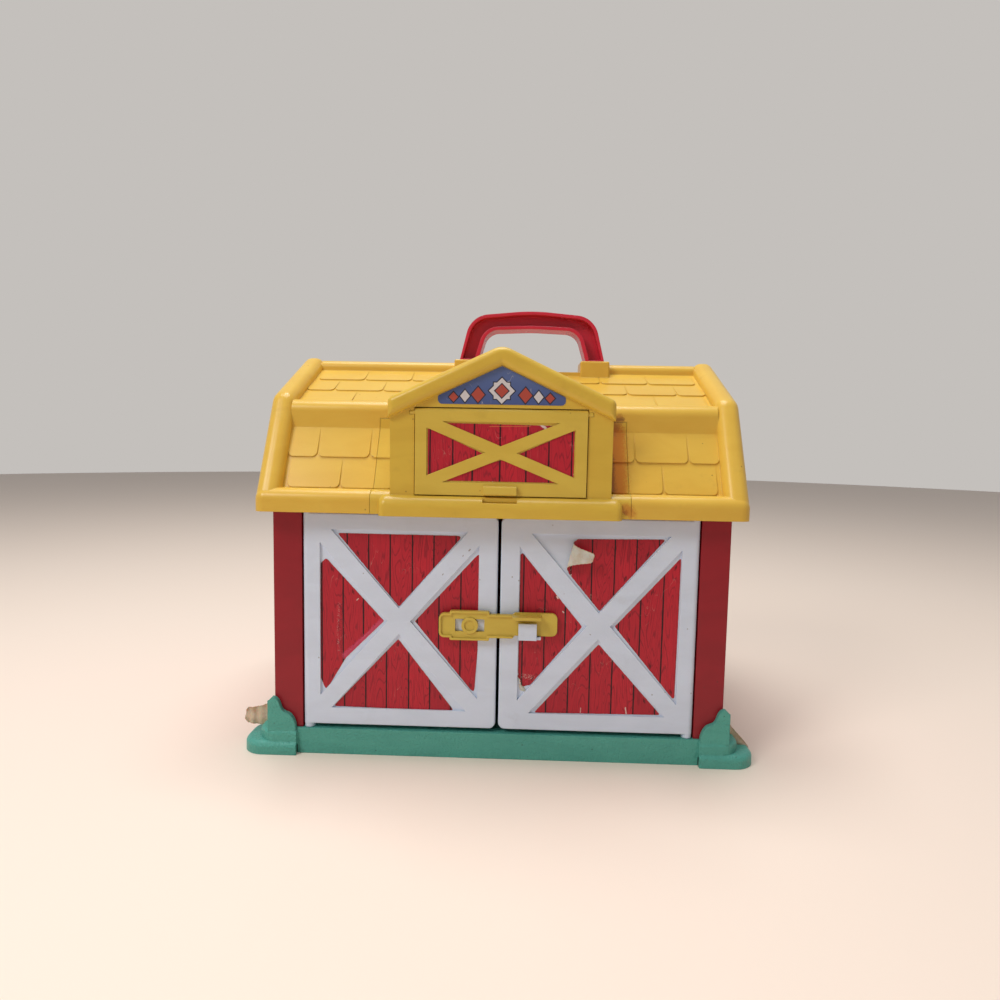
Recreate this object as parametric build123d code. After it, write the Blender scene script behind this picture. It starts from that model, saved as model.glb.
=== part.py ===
from build123d import *
import os
from math import cos, degrees, radians, sin, tan

# Toy barn, millimetres. +X is the viewer's right, +Y the back, +Z up.
# The origin is the bottom centre of the whole barn. "run" is a horizontal distance
# in front of the ridge plane, so the same section serves the front and the back roof.

# --- shared clearances ----------------------------------------------------------------
skin = 2.6                  # general moulded wall
seam = 0.2                  # visible joint between two mouldings
stack_gap = 0.3             # clearance where a piece drops into another
running_gap = 0.3           # clearance between a moving piece and its neighbour
pin_clearance = 0.1
overcut = 1.0               # how far a cutting tool passes through the face it cuts

# --- depth of the whole barn ----------------------------------------------------------
roof_depth = 245.2          # eave to eave
bulge_reach = 5.8           # dormer sill in front of the eave
eave_overhang = 15.2        # eave face in front of the door faces
ridge_y = bulge_reach / 2
eave_run = roof_depth / 2
door_face_run = eave_run - eave_overhang

# --- doors ----------------------------------------------------------------------------
door_width = 144.1
door_height = 159.8
door_gap = 2.2              # between the two doors
door_foot_gap = 3.1         # under the doors
door_head_gap = 1.1         # over the doors
door_thick = 8.0
door_corner_r = 5.0
door_edge_r = 1.4
door_recess = 1.8
door_plate = 4.0            # full thickness in front of the rear pocket
door_rim = 2.6
door_stile_inner = 13.8
door_stile_outer = 13.0
door_rail_bottom = 12.9
door_rail_top = 12.3
door_beam = 12.8
door_pin_r = 2.5
door_collar_r = 3.8
door_pin_depth = 4.6        # lower pin inside the base
door_edge_x = door_gap / 2 + door_width

# --- base -----------------------------------------------------------------------------
base_top = 19.4
base_skirt = 3.0
base_floor = 3.0
base_ledge = 4.5            # base beyond the side walls
plinth_reach = 1.2          # plinth face in front of the door faces
foot_spread = 20.2          # foot end beyond the base
foot_lap = 21.8             # foot's inner end inside the base's end
foot_reach = 6.2            # foot face in front of the door faces
foot_depth = 42.0
foot_corner_r = 16.0
foot_tier = 9.7             # height of the lower tier of a foot
foot_step = 2.2             # upper tier set back from the lower one
foot_end_step = 11.5
foot_roll_r = 4.0
foot_top_drop = 1.3         # foot's top below the base's top
foot_top_r = 3.0
foot_notch = 4.0
bush_height = 23.8          # leaf-shaped corner plates above the base
bush_width = 20.8
bush_thick = 3.4
bush_side = 16.0
bush_tip = 3.4
bush_side_drop = 3.0
bush_curve = ((0.08, 0.31), (0.24, 0.47), (0.44, 0.55), (0.60, 0.84))  # shares of width and height
rib_thick = 2.4
rib_height = 5.0
rib_run = 48.0
rib_pitch = 100.0

# --- walls and loft floor -------------------------------------------------------------
post_gap = 0.7              # door edge to post
post_width = 21.0
wall_thick = 3.0
wall_setback = 1.0          # wall front behind the door faces
jamb_depth = 13.0
deck_thick = 3.0
deck_rim_height = 8.0
deck_rim_thick = 2.4
post_inner_x = door_edge_x + post_gap
wall_half_x = post_inner_x + post_width
base_half_x = wall_half_x + base_ledge
foot_half_x = base_half_x + foot_spread
plinth_half_x = base_half_x - foot_lap
door_bottom_z = base_top + door_foot_gap
door_top_z = door_bottom_z + door_height
deck_z = door_top_z + door_head_gap
deck_top_z = deck_z + deck_thick

# --- main roof ------------------------------------------------------------------------
eave_lift = 0.4             # eave's lower edge above the loft floor's underside
eave_height = 16.7
eave_roll_r = 8.0
eave_shelf = 14.0           # eave face to the foot of the lower slope
eave_chamfer = 4.0
lower_pitch = 62.8
lower_rise = 44.0           # height of the shingled part of the lower slope
step_height = 21.0          # upright step below the upper slope
step_roll_r = 8.5
step_land = 3.5
land_groove = 1.5           # upper slope's foot below the step's land
upper_pitch = 24.5
ridge_roll_r = 6.4
ridge_roll_edge = 6.0
ridge_rise = 5.5            # ridge roll above the shingles' ridge line
verge_overhang = 9.1        # verge beyond the side wall
verge_width = 17.4
verge_rise = 3.4            # verge above the ridge roll
verge_break_in = 3.1        # verge's break behind the step
verge_break_rise = 3.7
verge_foot_drop = 6.1       # verge's foot below the eave's top, level with the eave roll
verge_setback = 0.6         # verge's front behind the eave's roll
verge_wall = 7.0            # wall left inside the rounded ends of the roof
verge_outer_r = 7.6
verge_inner_r = 7.6
verge_break_r = 12.0
course_proud = 0.9          # butt of a shingle course above the course below it
lower_courses = 2
upper_courses = 3
shingle_width = 39.0
shingle_gap = 0.9
shingle_corner_r = 4.0
eave_z = deck_z + eave_lift
eave_top_z = eave_z + eave_height
lower_foot_run = eave_run - eave_shelf
step_foot_z = eave_top_z + lower_rise
step_top_z = step_foot_z + step_height
step_run = lower_foot_run - lower_rise / tan(radians(lower_pitch))
land_run = step_run - step_roll_r - step_land
upper_foot_run = land_run - 1.0
upper_foot_z = step_top_z - land_groove
upper_ridge_z = upper_foot_z + upper_foot_run * tan(radians(upper_pitch))
ridge_top_z = upper_ridge_z + ridge_rise
verge_half_x = wall_half_x + verge_overhang

# --- hatch ----------------------------------------------------------------------------
hatch_width = 120.4
hatch_drop = 57.7           # hinge axis above the hatch's lower edge
hatch_thick = 6.0
hatch_gap = 0.6
hatch_frame_x = 8.2
hatch_frame_top = 9.2
hatch_frame_bottom = 9.1
hatch_recess = 1.2
hatch_pocket_wall = 2.0     # hatch behind its recess floor
hatch_pocket_rim = 5.0
hatch_beam = 8.4
hatch_pin_r = 2.0
hatch_pin_reach = 3.4
hatch_axis_depth = 1.5      # hinge axis behind the dormer's face
hatch_tab_half_x = 11.6
hatch_tab_height = 6.4
hatch_tab_lift = 0.6
hatch_tab_reach = 3.6
hatch_tab_r = 1.4
hatch_half_x = hatch_width / 2

# --- dormer ---------------------------------------------------------------------------
dormer_wall = 3.0
dormer_side = 17.8          # dormer beyond the hatch
dormer_setback = 1.2        # dormer face behind the eave face
insert_margin = 6.4         # roof strip beyond the sill
insert_lap = 7.5            # roof strip above the foot of the step
insert_back_run = 60.0
sill_end = 7.6              # sill beyond the dormer's sides
sill_drop = 2.8             # sill's top below the eave's top
sill_foot_drop = 0.8        # sill's lower edge below the eave's
sill_end_r = 5.0
gable_pitch = 25.2
gable_rise = 39.4           # dormer's ridge above the hatch's hinge axis
gable_trim_rise = 7.5
gable_trim_drop = 13.9      # upright depth of the gable trim
gable_trim_lap = 1.4        # trim beyond the dormer's sides
gable_trim_reach = 5.6      # trim in front of the dormer face
gable_trim_r = 4.6
gable_trim_end_r = 5.0
gable_trim_apex_r = 14.0
ear_half_z = 5.0
scoop_half_x = 12.0         # finger scoop under the hatch tab
scoop_depth = 4.4
scoop_drop = 4.2
dormer_half_x = hatch_half_x + dormer_side
sill_half_x = dormer_half_x + sill_end
insert_half_x = sill_half_x + insert_margin
insert_top_z = step_foot_z + insert_lap
dormer_face_run = eave_run - dormer_setback
sill_top_z = eave_top_z - sill_drop
sill_bottom_z = eave_z - sill_foot_drop
hatch_bottom_z = sill_top_z + hatch_gap
hatch_axis_z = hatch_bottom_z + hatch_drop
hatch_axis_run = dormer_face_run - hatch_axis_depth
gable_skin_apex_z = hatch_axis_z + gable_rise
gable_trim_apex_z = gable_skin_apex_z + gable_trim_rise

# --- latch ----------------------------------------------------------------------------
latch_inset = 19.7          # latch pivot from the left door's free edge
latch_height = 79.5         # latch pivot above the doors' lower edges
latch_back = 1.2            # latch plate in front of the door faces
latch_plate = 2.6
latch_rim = 1.4
latch_rim_width = 1.5
latch_lug_end = 22.5        # measured from the pivot
latch_lug_half = 8.9
latch_body_left = 14.6
latch_body_right = 14.4
latch_body_half = 10.8
latch_body_r = 1.0
latch_arm_end = 63.9
latch_arm_low = 6.7
latch_arm_high = 10.2
latch_root_half = 8.6       # arm's root, as far as the finger tab
latch_root_step = 2.0
latch_corner_r = 4.0
latch_window_half_x = 10.7
latch_window_half_z = 4.7
latch_hub_r = 6.1
latch_hub_wall = 2.2
latch_hub_proud = 0.4
latch_pin_r = 3.9
latch_flare_r = 4.9
latch_flare = 2.1
latch_boss_r = 8.0
latch_boss_half_x = 11.6    # block behind the hub's windows
latch_boss_half_z = 6.5
latch_tab_left = 31.2
latch_tab_right = 52.0
latch_tab_reach = 9.0
latch_tab_thick = 2.2
latch_tab_drop = 1.2        # tab's top below the arm's top
keeper_width = 13.3
keeper_foot_width = 16.4
keeper_shelf = 2.2
keeper_lip_thick = 2.0
keeper_lip_rise = 3.0       # lip's top above the latch pivot
keeper_root = 0.5           # keeper and boss sunk into the recess floor
latch_x = -door_gap / 2 - latch_inset
latch_z = door_bottom_z + latch_height

# --- handle ---------------------------------------------------------------------------
handle_x = 21.4             # the handle sits right of the barn's centre
handle_depth = 24.0
handle_span = 121.8
handle_leg = 15.6
handle_rise = 36.6          # shoulders above the sockets
handle_crown = 4.8
handle_grip_thick = 11.8
handle_grip_crown = 1.6
handle_shoulder_in = 9.0
handle_grip_in = 14.0
handle_outer_r = 20.0
handle_inner_r = 13.0
handle_crown_r = 170.0
handle_flange = 2.6
handle_web = 3.2
socket_rise = 1.6           # socket rims above the ridge roll
socket_depth = 11.4
socket_root = 8.0
socket_half_y = 15.0
socket_wall = 4.2
socket_edge_r = 1.4
ledge_drop = 0.2            # ledge below the dormer's ridge
ledge_half_y = 12.0
handle_foot_half_x = handle_span / 2
handle_inner_half_x = handle_foot_half_x - handle_leg
socket_top_z = ridge_top_z + socket_rise
socket_floor_z = socket_top_z - socket_depth
socket_bottom_z = socket_floor_z - socket_root
handle_shoulder_z = socket_top_z + handle_rise
ledge_z = gable_skin_apex_z - ledge_drop

# --- labels ---------------------------------------------------------------------------
label_thick = 0.3
label_margin = 0.5
label_top_margin = 3.7
label_corner_r = 2.0
sign_lift = 6.0             # sign's lower edge above the hatch's hinge axis
sign_side = 5.6             # height of the sign's upright ends
sign_corner_r = 3.0
side_label_margin = 6.0
side_label_top_margin = 8.0

# --- screws ---------------------------------------------------------------------------
screw_r = 1.5
screw_head_r = 3.2
screw_head = 2.2
screw_length = 14.0
screw_clearance = 0.2
pilot_clearance = 0.05
screw_floor = 1.0           # boss left above a screw's tip
boss_r = 4.6
boss_web = 2.0
base_boss = 5.0             # bosses under the base's floor
wall_screw_inset = 25.4
rear_screw_x = 70.0
loft_screw_inset_x = 26.9
loft_screw_inset_y = 19.4


def y_of(run):
    """Y of a point that lies run in front of the ridge plane."""
    return ridge_y - run


def lower_plane_z(run, inset=0.0):
    """Height of the lower shingle plane, inset square to itself."""
    rise = (lower_foot_run - run) * tan(radians(lower_pitch))
    return eave_top_z + rise - inset / cos(radians(lower_pitch))


def upper_plane_z(run, inset=0.0):
    """Height of the upper shingle plane, inset square to itself."""
    return upper_ridge_z - run * tan(radians(upper_pitch)) - inset / cos(radians(upper_pitch))


def lower_plane_run(z, inset=0.0):
    """Run at which the lower shingle plane has height z."""
    rise = z + inset / cos(radians(lower_pitch)) - eave_top_z
    return lower_foot_run - rise / tan(radians(lower_pitch))


def plane_break_run(inset):
    """Run at which the two inset shingle planes meet."""
    rise = lower_plane_z(0, inset) - upper_plane_z(0, inset)
    return rise / (tan(radians(lower_pitch)) - tan(radians(upper_pitch)))


def gable_z(apex_z, x):
    """Height of a dormer roof line at x."""
    return apex_z - abs(x) * tan(radians(gable_pitch))


def block(x0, x1, y0, y1, z0, z1):
    """Box from its corners."""
    centre = Pos((x0 + x1) / 2, (y0 + y1) / 2, (z0 + z1) / 2)
    return centre * Box(abs(x1 - x0), abs(y1 - y0), abs(z1 - z0))


def rounded_face(corners):
    """Polygon of (a, b) or (a, b, radius) corners as one face in the XY plane."""
    face = make_face(Polyline(*[corner[:2] for corner in corners], close=True))
    for corner in corners:
        if len(corner) == 3:
            vertex = face.vertices().sort_by_distance((corner[0], corner[1], 0))[0]
            face = fillet(vertex, corner[2])
    return face


def along_x(face, x0, x1):
    """Extrude a (Y, Z) face from x0 to x1."""
    return extrude(Plane.YZ.offset(x0) * face, amount=x1 - x0)


def along_y(face, y_back, y_front):
    """Extrude an (X, Z) face from its back plane to its front plane."""
    return extrude(Plane.XZ.offset(-y_back) * face, amount=y_back - y_front)


def along_z(face, z0, z1):
    """Extrude an (X, Y) face from z0 to z1."""
    return extrude(Pos(0, 0, z0) * face, amount=z1 - z0)


def rod_x(radius, x0, x1, y, z):
    """Round bar along X."""
    return Pos((x0 + x1) / 2, y, z) * Rot(0, 90, 0) * Cylinder(radius, abs(x1 - x0))


def rod_y(radius, x, y0, y1, z):
    """Round bar along Y."""
    return Pos(x, (y0 + y1) / 2, z) * Rot(90, 0, 0) * Cylinder(radius, abs(y1 - y0))


def rod_z(radius, x, y, z0, z1):
    """Round bar along Z."""
    return Pos(x, y, (z0 + z1) / 2) * Cylinder(radius, abs(z1 - z0))


def mirrored_section(half):
    """Close a half section of (run, z) corners with its mirror image behind the ridge."""
    front = [(y_of(corner[0]), *corner[1:]) for corner in half]
    back = [(y_of(-corner[0]), *corner[1:]) for corner in reversed(half) if corner[0] > 0]
    return rounded_face(front + back)


def cross_panel_openings(half_x, z0, z1, beam, grow=0.0):
    """Four triangles that a corner-to-corner cross leaves in a rectangle centred on X."""
    width = 2 * half_x
    height = z1 - z0
    centre_z = (z0 + z1) / 2
    face = Pos(0, centre_z) * Rectangle(width, height)
    angle = Vector(1, 0).get_signed_angle(Vector(width, height))
    length = 2 * (width + height)
    for turn in (angle, -angle):
        face -= Pos(0, centre_z) * Rot(0, 0, turn) * Rectangle(length, beam + 2 * grow)
    return face


# --- screws ---------------------------------------------------------------------------
def upward_screw(x, y, head_z):
    """Pan head with a plain shank; head_z is the face that the head bears on."""
    head = rod_z(screw_head_r, x, y, head_z - screw_head, head_z)
    return head + rod_z(screw_r, x, y, head_z, head_z + screw_length)


def base_screw_z():
    """Height of the face that the base screws' heads bear on."""
    return base_top - base_floor - base_boss + screw_head


def base_screw_places():
    """Corner and mid-side screws that hold the walls to the base."""
    side_x = wall_half_x - wall_thick - boss_r
    rear_y = y_of(-door_face_run) - wall_setback - wall_thick - boss_r
    end_run = door_face_run - wall_screw_inset
    sides = [(sign * side_x, y_of(run)) for sign in (-1, 1) for run in (end_run, 0.0, -end_run)]
    return sides + [(sign * rear_screw_x, rear_y) for sign in (-1, 1)]


def loft_screw_places():
    """Screws that draw the roof down on the loft floor."""
    x = wall_half_x - loft_screw_inset_x
    run = door_face_run - loft_screw_inset_y
    return [(sign * x, y_of(end * run)) for sign in (-1, 1) for end in (1, -1)]


def handle_screw_places():
    """One screw up into each handle leg."""
    leg = (handle_foot_half_x + handle_inner_half_x) / 2
    return [(handle_x + sign * leg, ridge_y) for sign in (-1, 1)]


def screw_group(places, head_z):
    """Identical screws as one group of separate solids."""
    return Compound(children=[upward_screw(x, y, head_z) for x, y in places])


# --- base -----------------------------------------------------------------------------
def foot_plan(reach, outer_x, depth, corner):
    """Plan of one foot tier at the front right corner."""
    front = y_of(door_face_run + reach)
    outline = [(plinth_half_x, front), (outer_x, front, corner), (outer_x, front + depth, corner)]
    return rounded_face(outline + [(plinth_half_x, front + depth)])


def front_right_foot():
    """Two-tier rounded foot with its corner notch."""
    lower = along_z(foot_plan(foot_reach, foot_half_x, foot_depth, foot_corner_r), 0, foot_tier)
    lower = fillet(lower.edges().group_by(Axis.Z)[-1].filter_by(GeomType.LINE, reverse=True), foot_roll_r)
    upper_reach = foot_reach - foot_step
    upper_x = foot_half_x - foot_end_step
    upper_corner = foot_corner_r - foot_step
    upper = along_z(foot_plan(upper_reach, upper_x, foot_depth - 2 * foot_step, upper_corner), 0,
                    base_top - foot_top_drop)
    upper = fillet(upper.edges().group_by(Axis.Z)[-1].filter_by(GeomType.LINE, reverse=True), foot_top_r)
    notch_x = upper_x - upper_corner / 2
    notch_y = y_of(door_face_run + upper_reach) + upper_corner / 2
    notch = Pos(notch_x + foot_notch, notch_y - foot_notch, (foot_tier + base_top + overcut) / 2)
    upper -= notch * Rot(0, 0, 45) * Box(3 * foot_notch, foot_notch, base_top - foot_tier + overcut)
    return lower + upper


def bush_plate():
    """Leaf-shaped plate in front of the right post, with a return round the corner."""
    outer = base_half_x
    inner = outer - bush_width
    foot = base_top - foot_top_drop - overcut
    top = base_top + bush_height
    leaf = [(inner + across * bush_width, base_top + up * bush_height) for across, up in bush_curve]
    curve = Spline((inner, foot), *leaf, (outer - bush_tip, top))
    crown = Polyline((outer - bush_tip, top), (outer, top - bush_tip), (outer, foot), (inner, foot))
    front = y_of(door_face_run + bush_thick - seam)
    plate = along_y(make_face([curve, crown]), y_of(door_face_run - wall_setback + seam), front)
    side_foot = y_of(door_face_run) + bush_side
    side_top = top - bush_side_drop
    side = rounded_face([
        (front, foot),
        (side_foot, foot),
        (front + bush_side_drop, side_top, bush_side_drop),
        (front, side_top),
    ])
    return plate + along_x(side, wall_half_x + label_thick + seam, outer)


def foot_cavity():
    """Hollow under the front right foot."""
    wall = base_skirt
    plan = foot_plan(foot_reach - wall, foot_half_x - wall, foot_depth - 2 * wall, foot_corner_r - wall)
    return along_z(plan, -overcut, foot_tier - wall)


def four_corners(shape):
    """The front right corner's shape at all four corners."""
    front = [shape, mirror(shape, about=Plane.YZ)]
    return front + [mirror(corner, about=Plane.XZ.offset(-ridge_y)) for corner in front]


def make_base():
    """Hollow plinth with four feet, corner bushes, ribs and screw bosses."""
    front = y_of(door_face_run + plinth_reach)
    back = y_of(-door_face_run - plinth_reach)
    body = block(-base_half_x, base_half_x, front, back, 0, base_top)
    body += four_corners(front_right_foot() + bush_plate())
    inner_x = base_half_x - base_skirt
    ceiling = base_top - base_floor
    body -= block(-inner_x, inner_x, front + base_skirt, back - base_skirt, -overcut, ceiling)
    body -= four_corners(foot_cavity())
    body += base_ribs(inner_x, front + base_skirt, back - base_skirt, ceiling)
    for x, y in base_screw_places():
        body += rod_z(boss_r, x, y, ceiling - base_boss, ceiling)
        body -= rod_z(screw_head_r + screw_clearance, x, y, -overcut, base_screw_z())
        body -= rod_z(screw_r + screw_clearance, x, y, 0, base_top + overcut)
    socket_z = base_top - door_pin_depth - running_gap
    for sign in (-1, 1):
        x = sign * door_pin_x()
        body += rod_z(boss_r, x, door_pin_y(), socket_z - skin, ceiling)
        body -= rod_z(door_pin_r + pin_clearance, x, door_pin_y(), socket_z, base_top + overcut)
    return body


def base_ribs(inner_x, front, back, ceiling):
    """Stiffening ribs under the floor."""
    half = rib_thick / 2
    low = ceiling - rib_height
    ribs = []
    for y in (y_of(rib_run), y_of(-rib_run)):
        ribs.append(block(-inner_x, inner_x, y - half, y + half, low, ceiling))
    for x in (-rib_pitch, 0, rib_pitch):
        ribs.append(block(x - half, x + half, front, back, low, ceiling))
    return ribs


# --- walls ----------------------------------------------------------------------------
def gable_wall_section():
    """Side wall outline that fills the roof's inner section."""
    front_run = door_face_run - wall_setback
    inset = skin + stack_gap
    knee = plane_break_run(inset)
    half = [(front_run, base_top), (front_run, lower_plane_z(front_run, inset))]
    half += [(knee, upper_plane_z(knee, inset)), (0, upper_plane_z(0, inset))]
    return mirrored_section(half)


def make_side_wall():
    """Right side wall with its front post and rear corner."""
    front_y = y_of(door_face_run - wall_setback)
    inner_x = wall_half_x - wall_thick
    wall = along_x(gable_wall_section(), inner_x, wall_half_x)
    wall += block(post_inner_x, wall_half_x, front_y, front_y + wall_thick, base_top, deck_z)
    wall += block(post_inner_x, post_inner_x + wall_thick, front_y, front_y + jamb_depth, base_top, deck_z)
    top = base_top + screw_length
    for x, y in base_screw_places():
        if x > inner_x - 2 * boss_r:
            wall += rod_z(boss_r, x, y, base_top, top)
            wall += block(x, inner_x, y - boss_web / 2, y + boss_web / 2, base_top, top)
            wall -= rod_z(screw_r + pilot_clearance, x, y, base_top - overcut, top - screw_floor)
    return wall


def make_back_wall():
    """Rear panel between the side walls."""
    rear_y = y_of(-door_face_run) - wall_setback
    inner_x = wall_half_x - wall_thick - seam
    wall = block(-inner_x, inner_x, rear_y - wall_thick, rear_y, base_top, deck_z)
    top = base_top + screw_length
    for x, y in base_screw_places():
        if abs(x) < inner_x - 3 * boss_r:
            wall += rod_z(boss_r, x, y, base_top, top)
            wall += block(x - boss_web / 2, x + boss_web / 2, y, rear_y - wall_thick, base_top, top)
            wall -= rod_z(screw_r + pilot_clearance, x, y, base_top - overcut, top - screw_floor)
    return wall


def make_loft_floor():
    """Tray that ties the walls, carries the door pins and floors the loft."""
    front_y = y_of(door_face_run - wall_setback)
    rear_y = y_of(-door_face_run) - wall_setback
    half = wall_half_x - wall_thick - seam
    deck = block(-half, half, front_y, rear_y, deck_z, deck_top_z)
    for y0, y1 in ((front_y, front_y + deck_rim_thick), (rear_y - deck_rim_thick, rear_y)):
        deck += block(-half, half, y0, y1, deck_top_z, deck_top_z + deck_rim_height)
    for x, y in loft_screw_places():
        deck -= rod_z(screw_r + screw_clearance, x, y, deck_z - overcut, deck_top_z + overcut)
    for sign in (-1, 1):
        x = sign * door_pin_x()
        deck -= rod_z(door_pin_r + pin_clearance, x, door_pin_y(), deck_z - overcut, deck_top_z + overcut)
    return deck


# --- main roof ------------------------------------------------------------------------
def roof_outer_section():
    """Outer section of the roof between the verges."""
    half = [
        (eave_run, eave_z),
        (eave_run, eave_top_z, eave_roll_r),
        (lower_foot_run, eave_top_z),
        (step_run, step_foot_z),
        (step_run, step_top_z, step_roll_r),
        (land_run, step_top_z, land_groove / 2),
        (upper_foot_run, upper_foot_z),
        (ridge_roll_r, upper_plane_z(ridge_roll_r)),
        (ridge_roll_r, ridge_top_z, ridge_roll_edge),
    ]
    return mirrored_section(half)


def roof_inner_section(inset):
    """Hollow of the roof, open at the bottom."""
    ceiling = eave_top_z - inset
    eave_inner = eave_run - inset
    knee = plane_break_run(inset)
    half = [
        (eave_inner, eave_z - overcut),
        (eave_inner, ceiling - eave_chamfer),
        (eave_inner - eave_chamfer, ceiling),
        (lower_plane_run(ceiling, inset), ceiling),
        (knee, upper_plane_z(knee, inset)),
        (0, upper_plane_z(0, inset)),
    ]
    return mirrored_section(half)


def upper_edges(face):
    """Edges of a verge end face, without its lower edge."""
    return face.edges().filter_by(lambda edge: edge.center().Z > eave_z + seam)


def make_verge():
    """Raised rounded border at the right end of the roof."""
    front_run = eave_run - verge_setback
    half = [
        (front_run, eave_z),
        (front_run, eave_top_z - verge_foot_drop, eave_roll_r),
        (step_run - verge_break_in, step_top_z + verge_break_rise, verge_break_r),
        (0, ridge_top_z + verge_rise, verge_break_r),
    ]
    verge = along_x(mirrored_section(half), verge_half_x - verge_width, verge_half_x)
    verge = fillet(upper_edges(verge.faces().sort_by(Axis.X)[-1]), verge_outer_r)
    return fillet(upper_edges(verge.faces().sort_by(Axis.X)[0]), verge_inner_r)


def make_eave():
    """Front eave roll from end to end, with rounded ends."""
    corners = [
        (y_of(eave_run), eave_z),
        (y_of(eave_run), eave_top_z, eave_roll_r),
        (y_of(lower_foot_run), eave_top_z),
        (y_of(lower_foot_run), eave_z),
    ]
    eave = along_x(rounded_face(corners), -verge_half_x, verge_half_x)
    back = y_of(lower_foot_run) - seam
    for end in (0, -1):
        edges = upper_edges(eave.faces().sort_by(Axis.X)[end])
        eave = fillet(edges.filter_by(lambda edge: edge.center().Y < back), verge_outer_r)
    return eave


def shingle_course(foot_run, foot_z, pitch, length, shift, half_x):
    """One course of separate shingles; their butts stand proud of the slope."""
    tilt = radians(pitch)
    slope = Plane(origin=(0, y_of(foot_run), foot_z), x_dir=(1, 0, 0), z_dir=(0, -tan(tilt), 1))
    course = Sketch()
    count = int(2 * half_x / shingle_width) + 2
    for index in range(-count, count + 1):
        x0 = max(-half_x, (index + shift) * shingle_width + shingle_gap / 2)
        x1 = min(half_x, (index + shift + 1) * shingle_width - shingle_gap / 2)
        if x1 - x0 > shingle_corner_r:
            corner = min(shingle_corner_r, (x1 - x0) / 3)
            course += rounded_face([(x0, 0, corner), (x1, 0, corner), (x1, length), (x0, length)])
    lean = Rot(-degrees(course_proud / length), 0, 0)
    lifted = slope * Pos(0, 0, course_proud) * lean * course
    return extrude(lifted, amount=-2 * course_proud)


def roof_courses(side_half_x):
    """All shingle courses of the front and back slopes."""
    lower_length = lower_rise / sin(radians(lower_pitch)) / lower_courses
    upper_length = (upper_foot_run - ridge_roll_r) / cos(radians(upper_pitch)) / upper_courses
    courses = []
    for index in range(lower_courses):
        z = eave_top_z + index * lower_rise / lower_courses
        foot = (lower_plane_run(z), z, lower_pitch, lower_length)
        courses.append(shingle_course(*foot, course_shift(index), side_half_x))
    for index in range(upper_courses):
        run = upper_foot_run - index * upper_length * cos(radians(upper_pitch))
        foot = (run, upper_plane_z(run), upper_pitch, upper_length)
        courses.append(shingle_course(*foot, course_shift(index), side_half_x))
    return courses + [mirror(course, about=Plane.XZ.offset(-ridge_y)) for course in courses]


def course_shift(index):
    """Sideways shift of a course in shingle widths: every other one by half."""
    return 0.5 * (index % 2)


def socket_block():
    """Closed socket for the right handle leg, with a thick root inside the roof."""
    x0 = handle_x + handle_inner_half_x - socket_wall - seam
    x1 = handle_x + handle_foot_half_x + socket_wall + seam
    root = block(x0, x1, ridge_y - socket_half_y, ridge_y + socket_half_y, socket_bottom_z, socket_top_z)
    edges = root.edges().filter_by(lambda edge: edge.center().Z > socket_bottom_z + seam)
    return fillet(edges, socket_edge_r)


def handle_sockets(roof):
    """Add both handle sockets and the flat ledge between them."""
    inner = handle_inner_half_x - socket_wall - seam
    x0 = handle_x - inner
    x1 = handle_x + inner
    above = socket_top_z + overcut
    roof -= block(x0, x1, ridge_y - socket_half_y, ridge_y + socket_half_y, ledge_z, above)
    roof += block(x0 - overcut, x1 + overcut, ridge_y - ledge_half_y, ridge_y + ledge_half_y,
                  ledge_z - 2 * skin, ledge_z)
    right = socket_block()
    roof += right + mirror(right, about=Plane.YZ.offset(handle_x))
    half_y = handle_depth / 2 + seam
    half_x = handle_leg / 2 + seam
    for x, y in handle_screw_places():
        roof -= block(x - half_x, x + half_x, y - half_y, y + half_y, socket_floor_z, above)
        roof -= rod_z(screw_r + screw_clearance, x, y, socket_bottom_z - overcut, socket_floor_z + overcut)
    return roof


def full_roof():
    """Roof moulding before the dormer strip is taken out of it."""
    inner_x = verge_half_x - verge_width
    roof = along_x(roof_outer_section(), -inner_x - overcut, inner_x + overcut)
    roof += roof_courses(inner_x)
    verge = make_verge()
    eave = make_eave()
    roof += [verge, mirror(verge, about=Plane.YZ), eave, mirror(eave, about=Plane.XZ.offset(-ridge_y))]
    hollow = along_x(roof_inner_section(skin), -wall_half_x - stack_gap, wall_half_x + stack_gap)
    roof -= hollow
    roof -= along_x(roof_inner_section(verge_wall), -verge_half_x - overcut, verge_half_x + overcut)
    bosses = Sketch()
    for x, y in loft_screw_places():
        bosses += Pos(x, y) * Circle(boss_r)
    roof += along_z(bosses, deck_top_z, step_top_z) & hollow
    for x, y in loft_screw_places():
        roof -= rod_z(screw_r + pilot_clearance, x, y, deck_z, deck_z + screw_length + screw_floor)
    return roof


def insert_zone(clearance):
    """Space of the strip that is moulded with the dormer."""
    half = insert_half_x + clearance
    front = y_of(eave_run + overcut)
    return block(-half, half, front, y_of(insert_back_run), eave_z - overcut, insert_top_z + clearance)


def gable_prism(half_x, apex_z, bottom_z, front_run, back_run):
    """Five-sided prism of the dormer from front to back."""
    side_z = gable_z(apex_z, half_x)
    corners = [(-half_x, bottom_z), (half_x, bottom_z), (half_x, side_z), (0, apex_z), (-half_x, side_z)]
    return along_y(rounded_face(corners), y_of(back_run), y_of(front_run))


def make_roof(moulding):
    """Main roof with the opening for the dormer."""
    roof = moulding - insert_zone(seam)
    apex = gable_skin_apex_z + seam
    roof -= gable_prism(dormer_half_x + seam, apex, sill_top_z, eave_run + overcut, ledge_half_y)
    return handle_sockets(roof)


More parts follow.
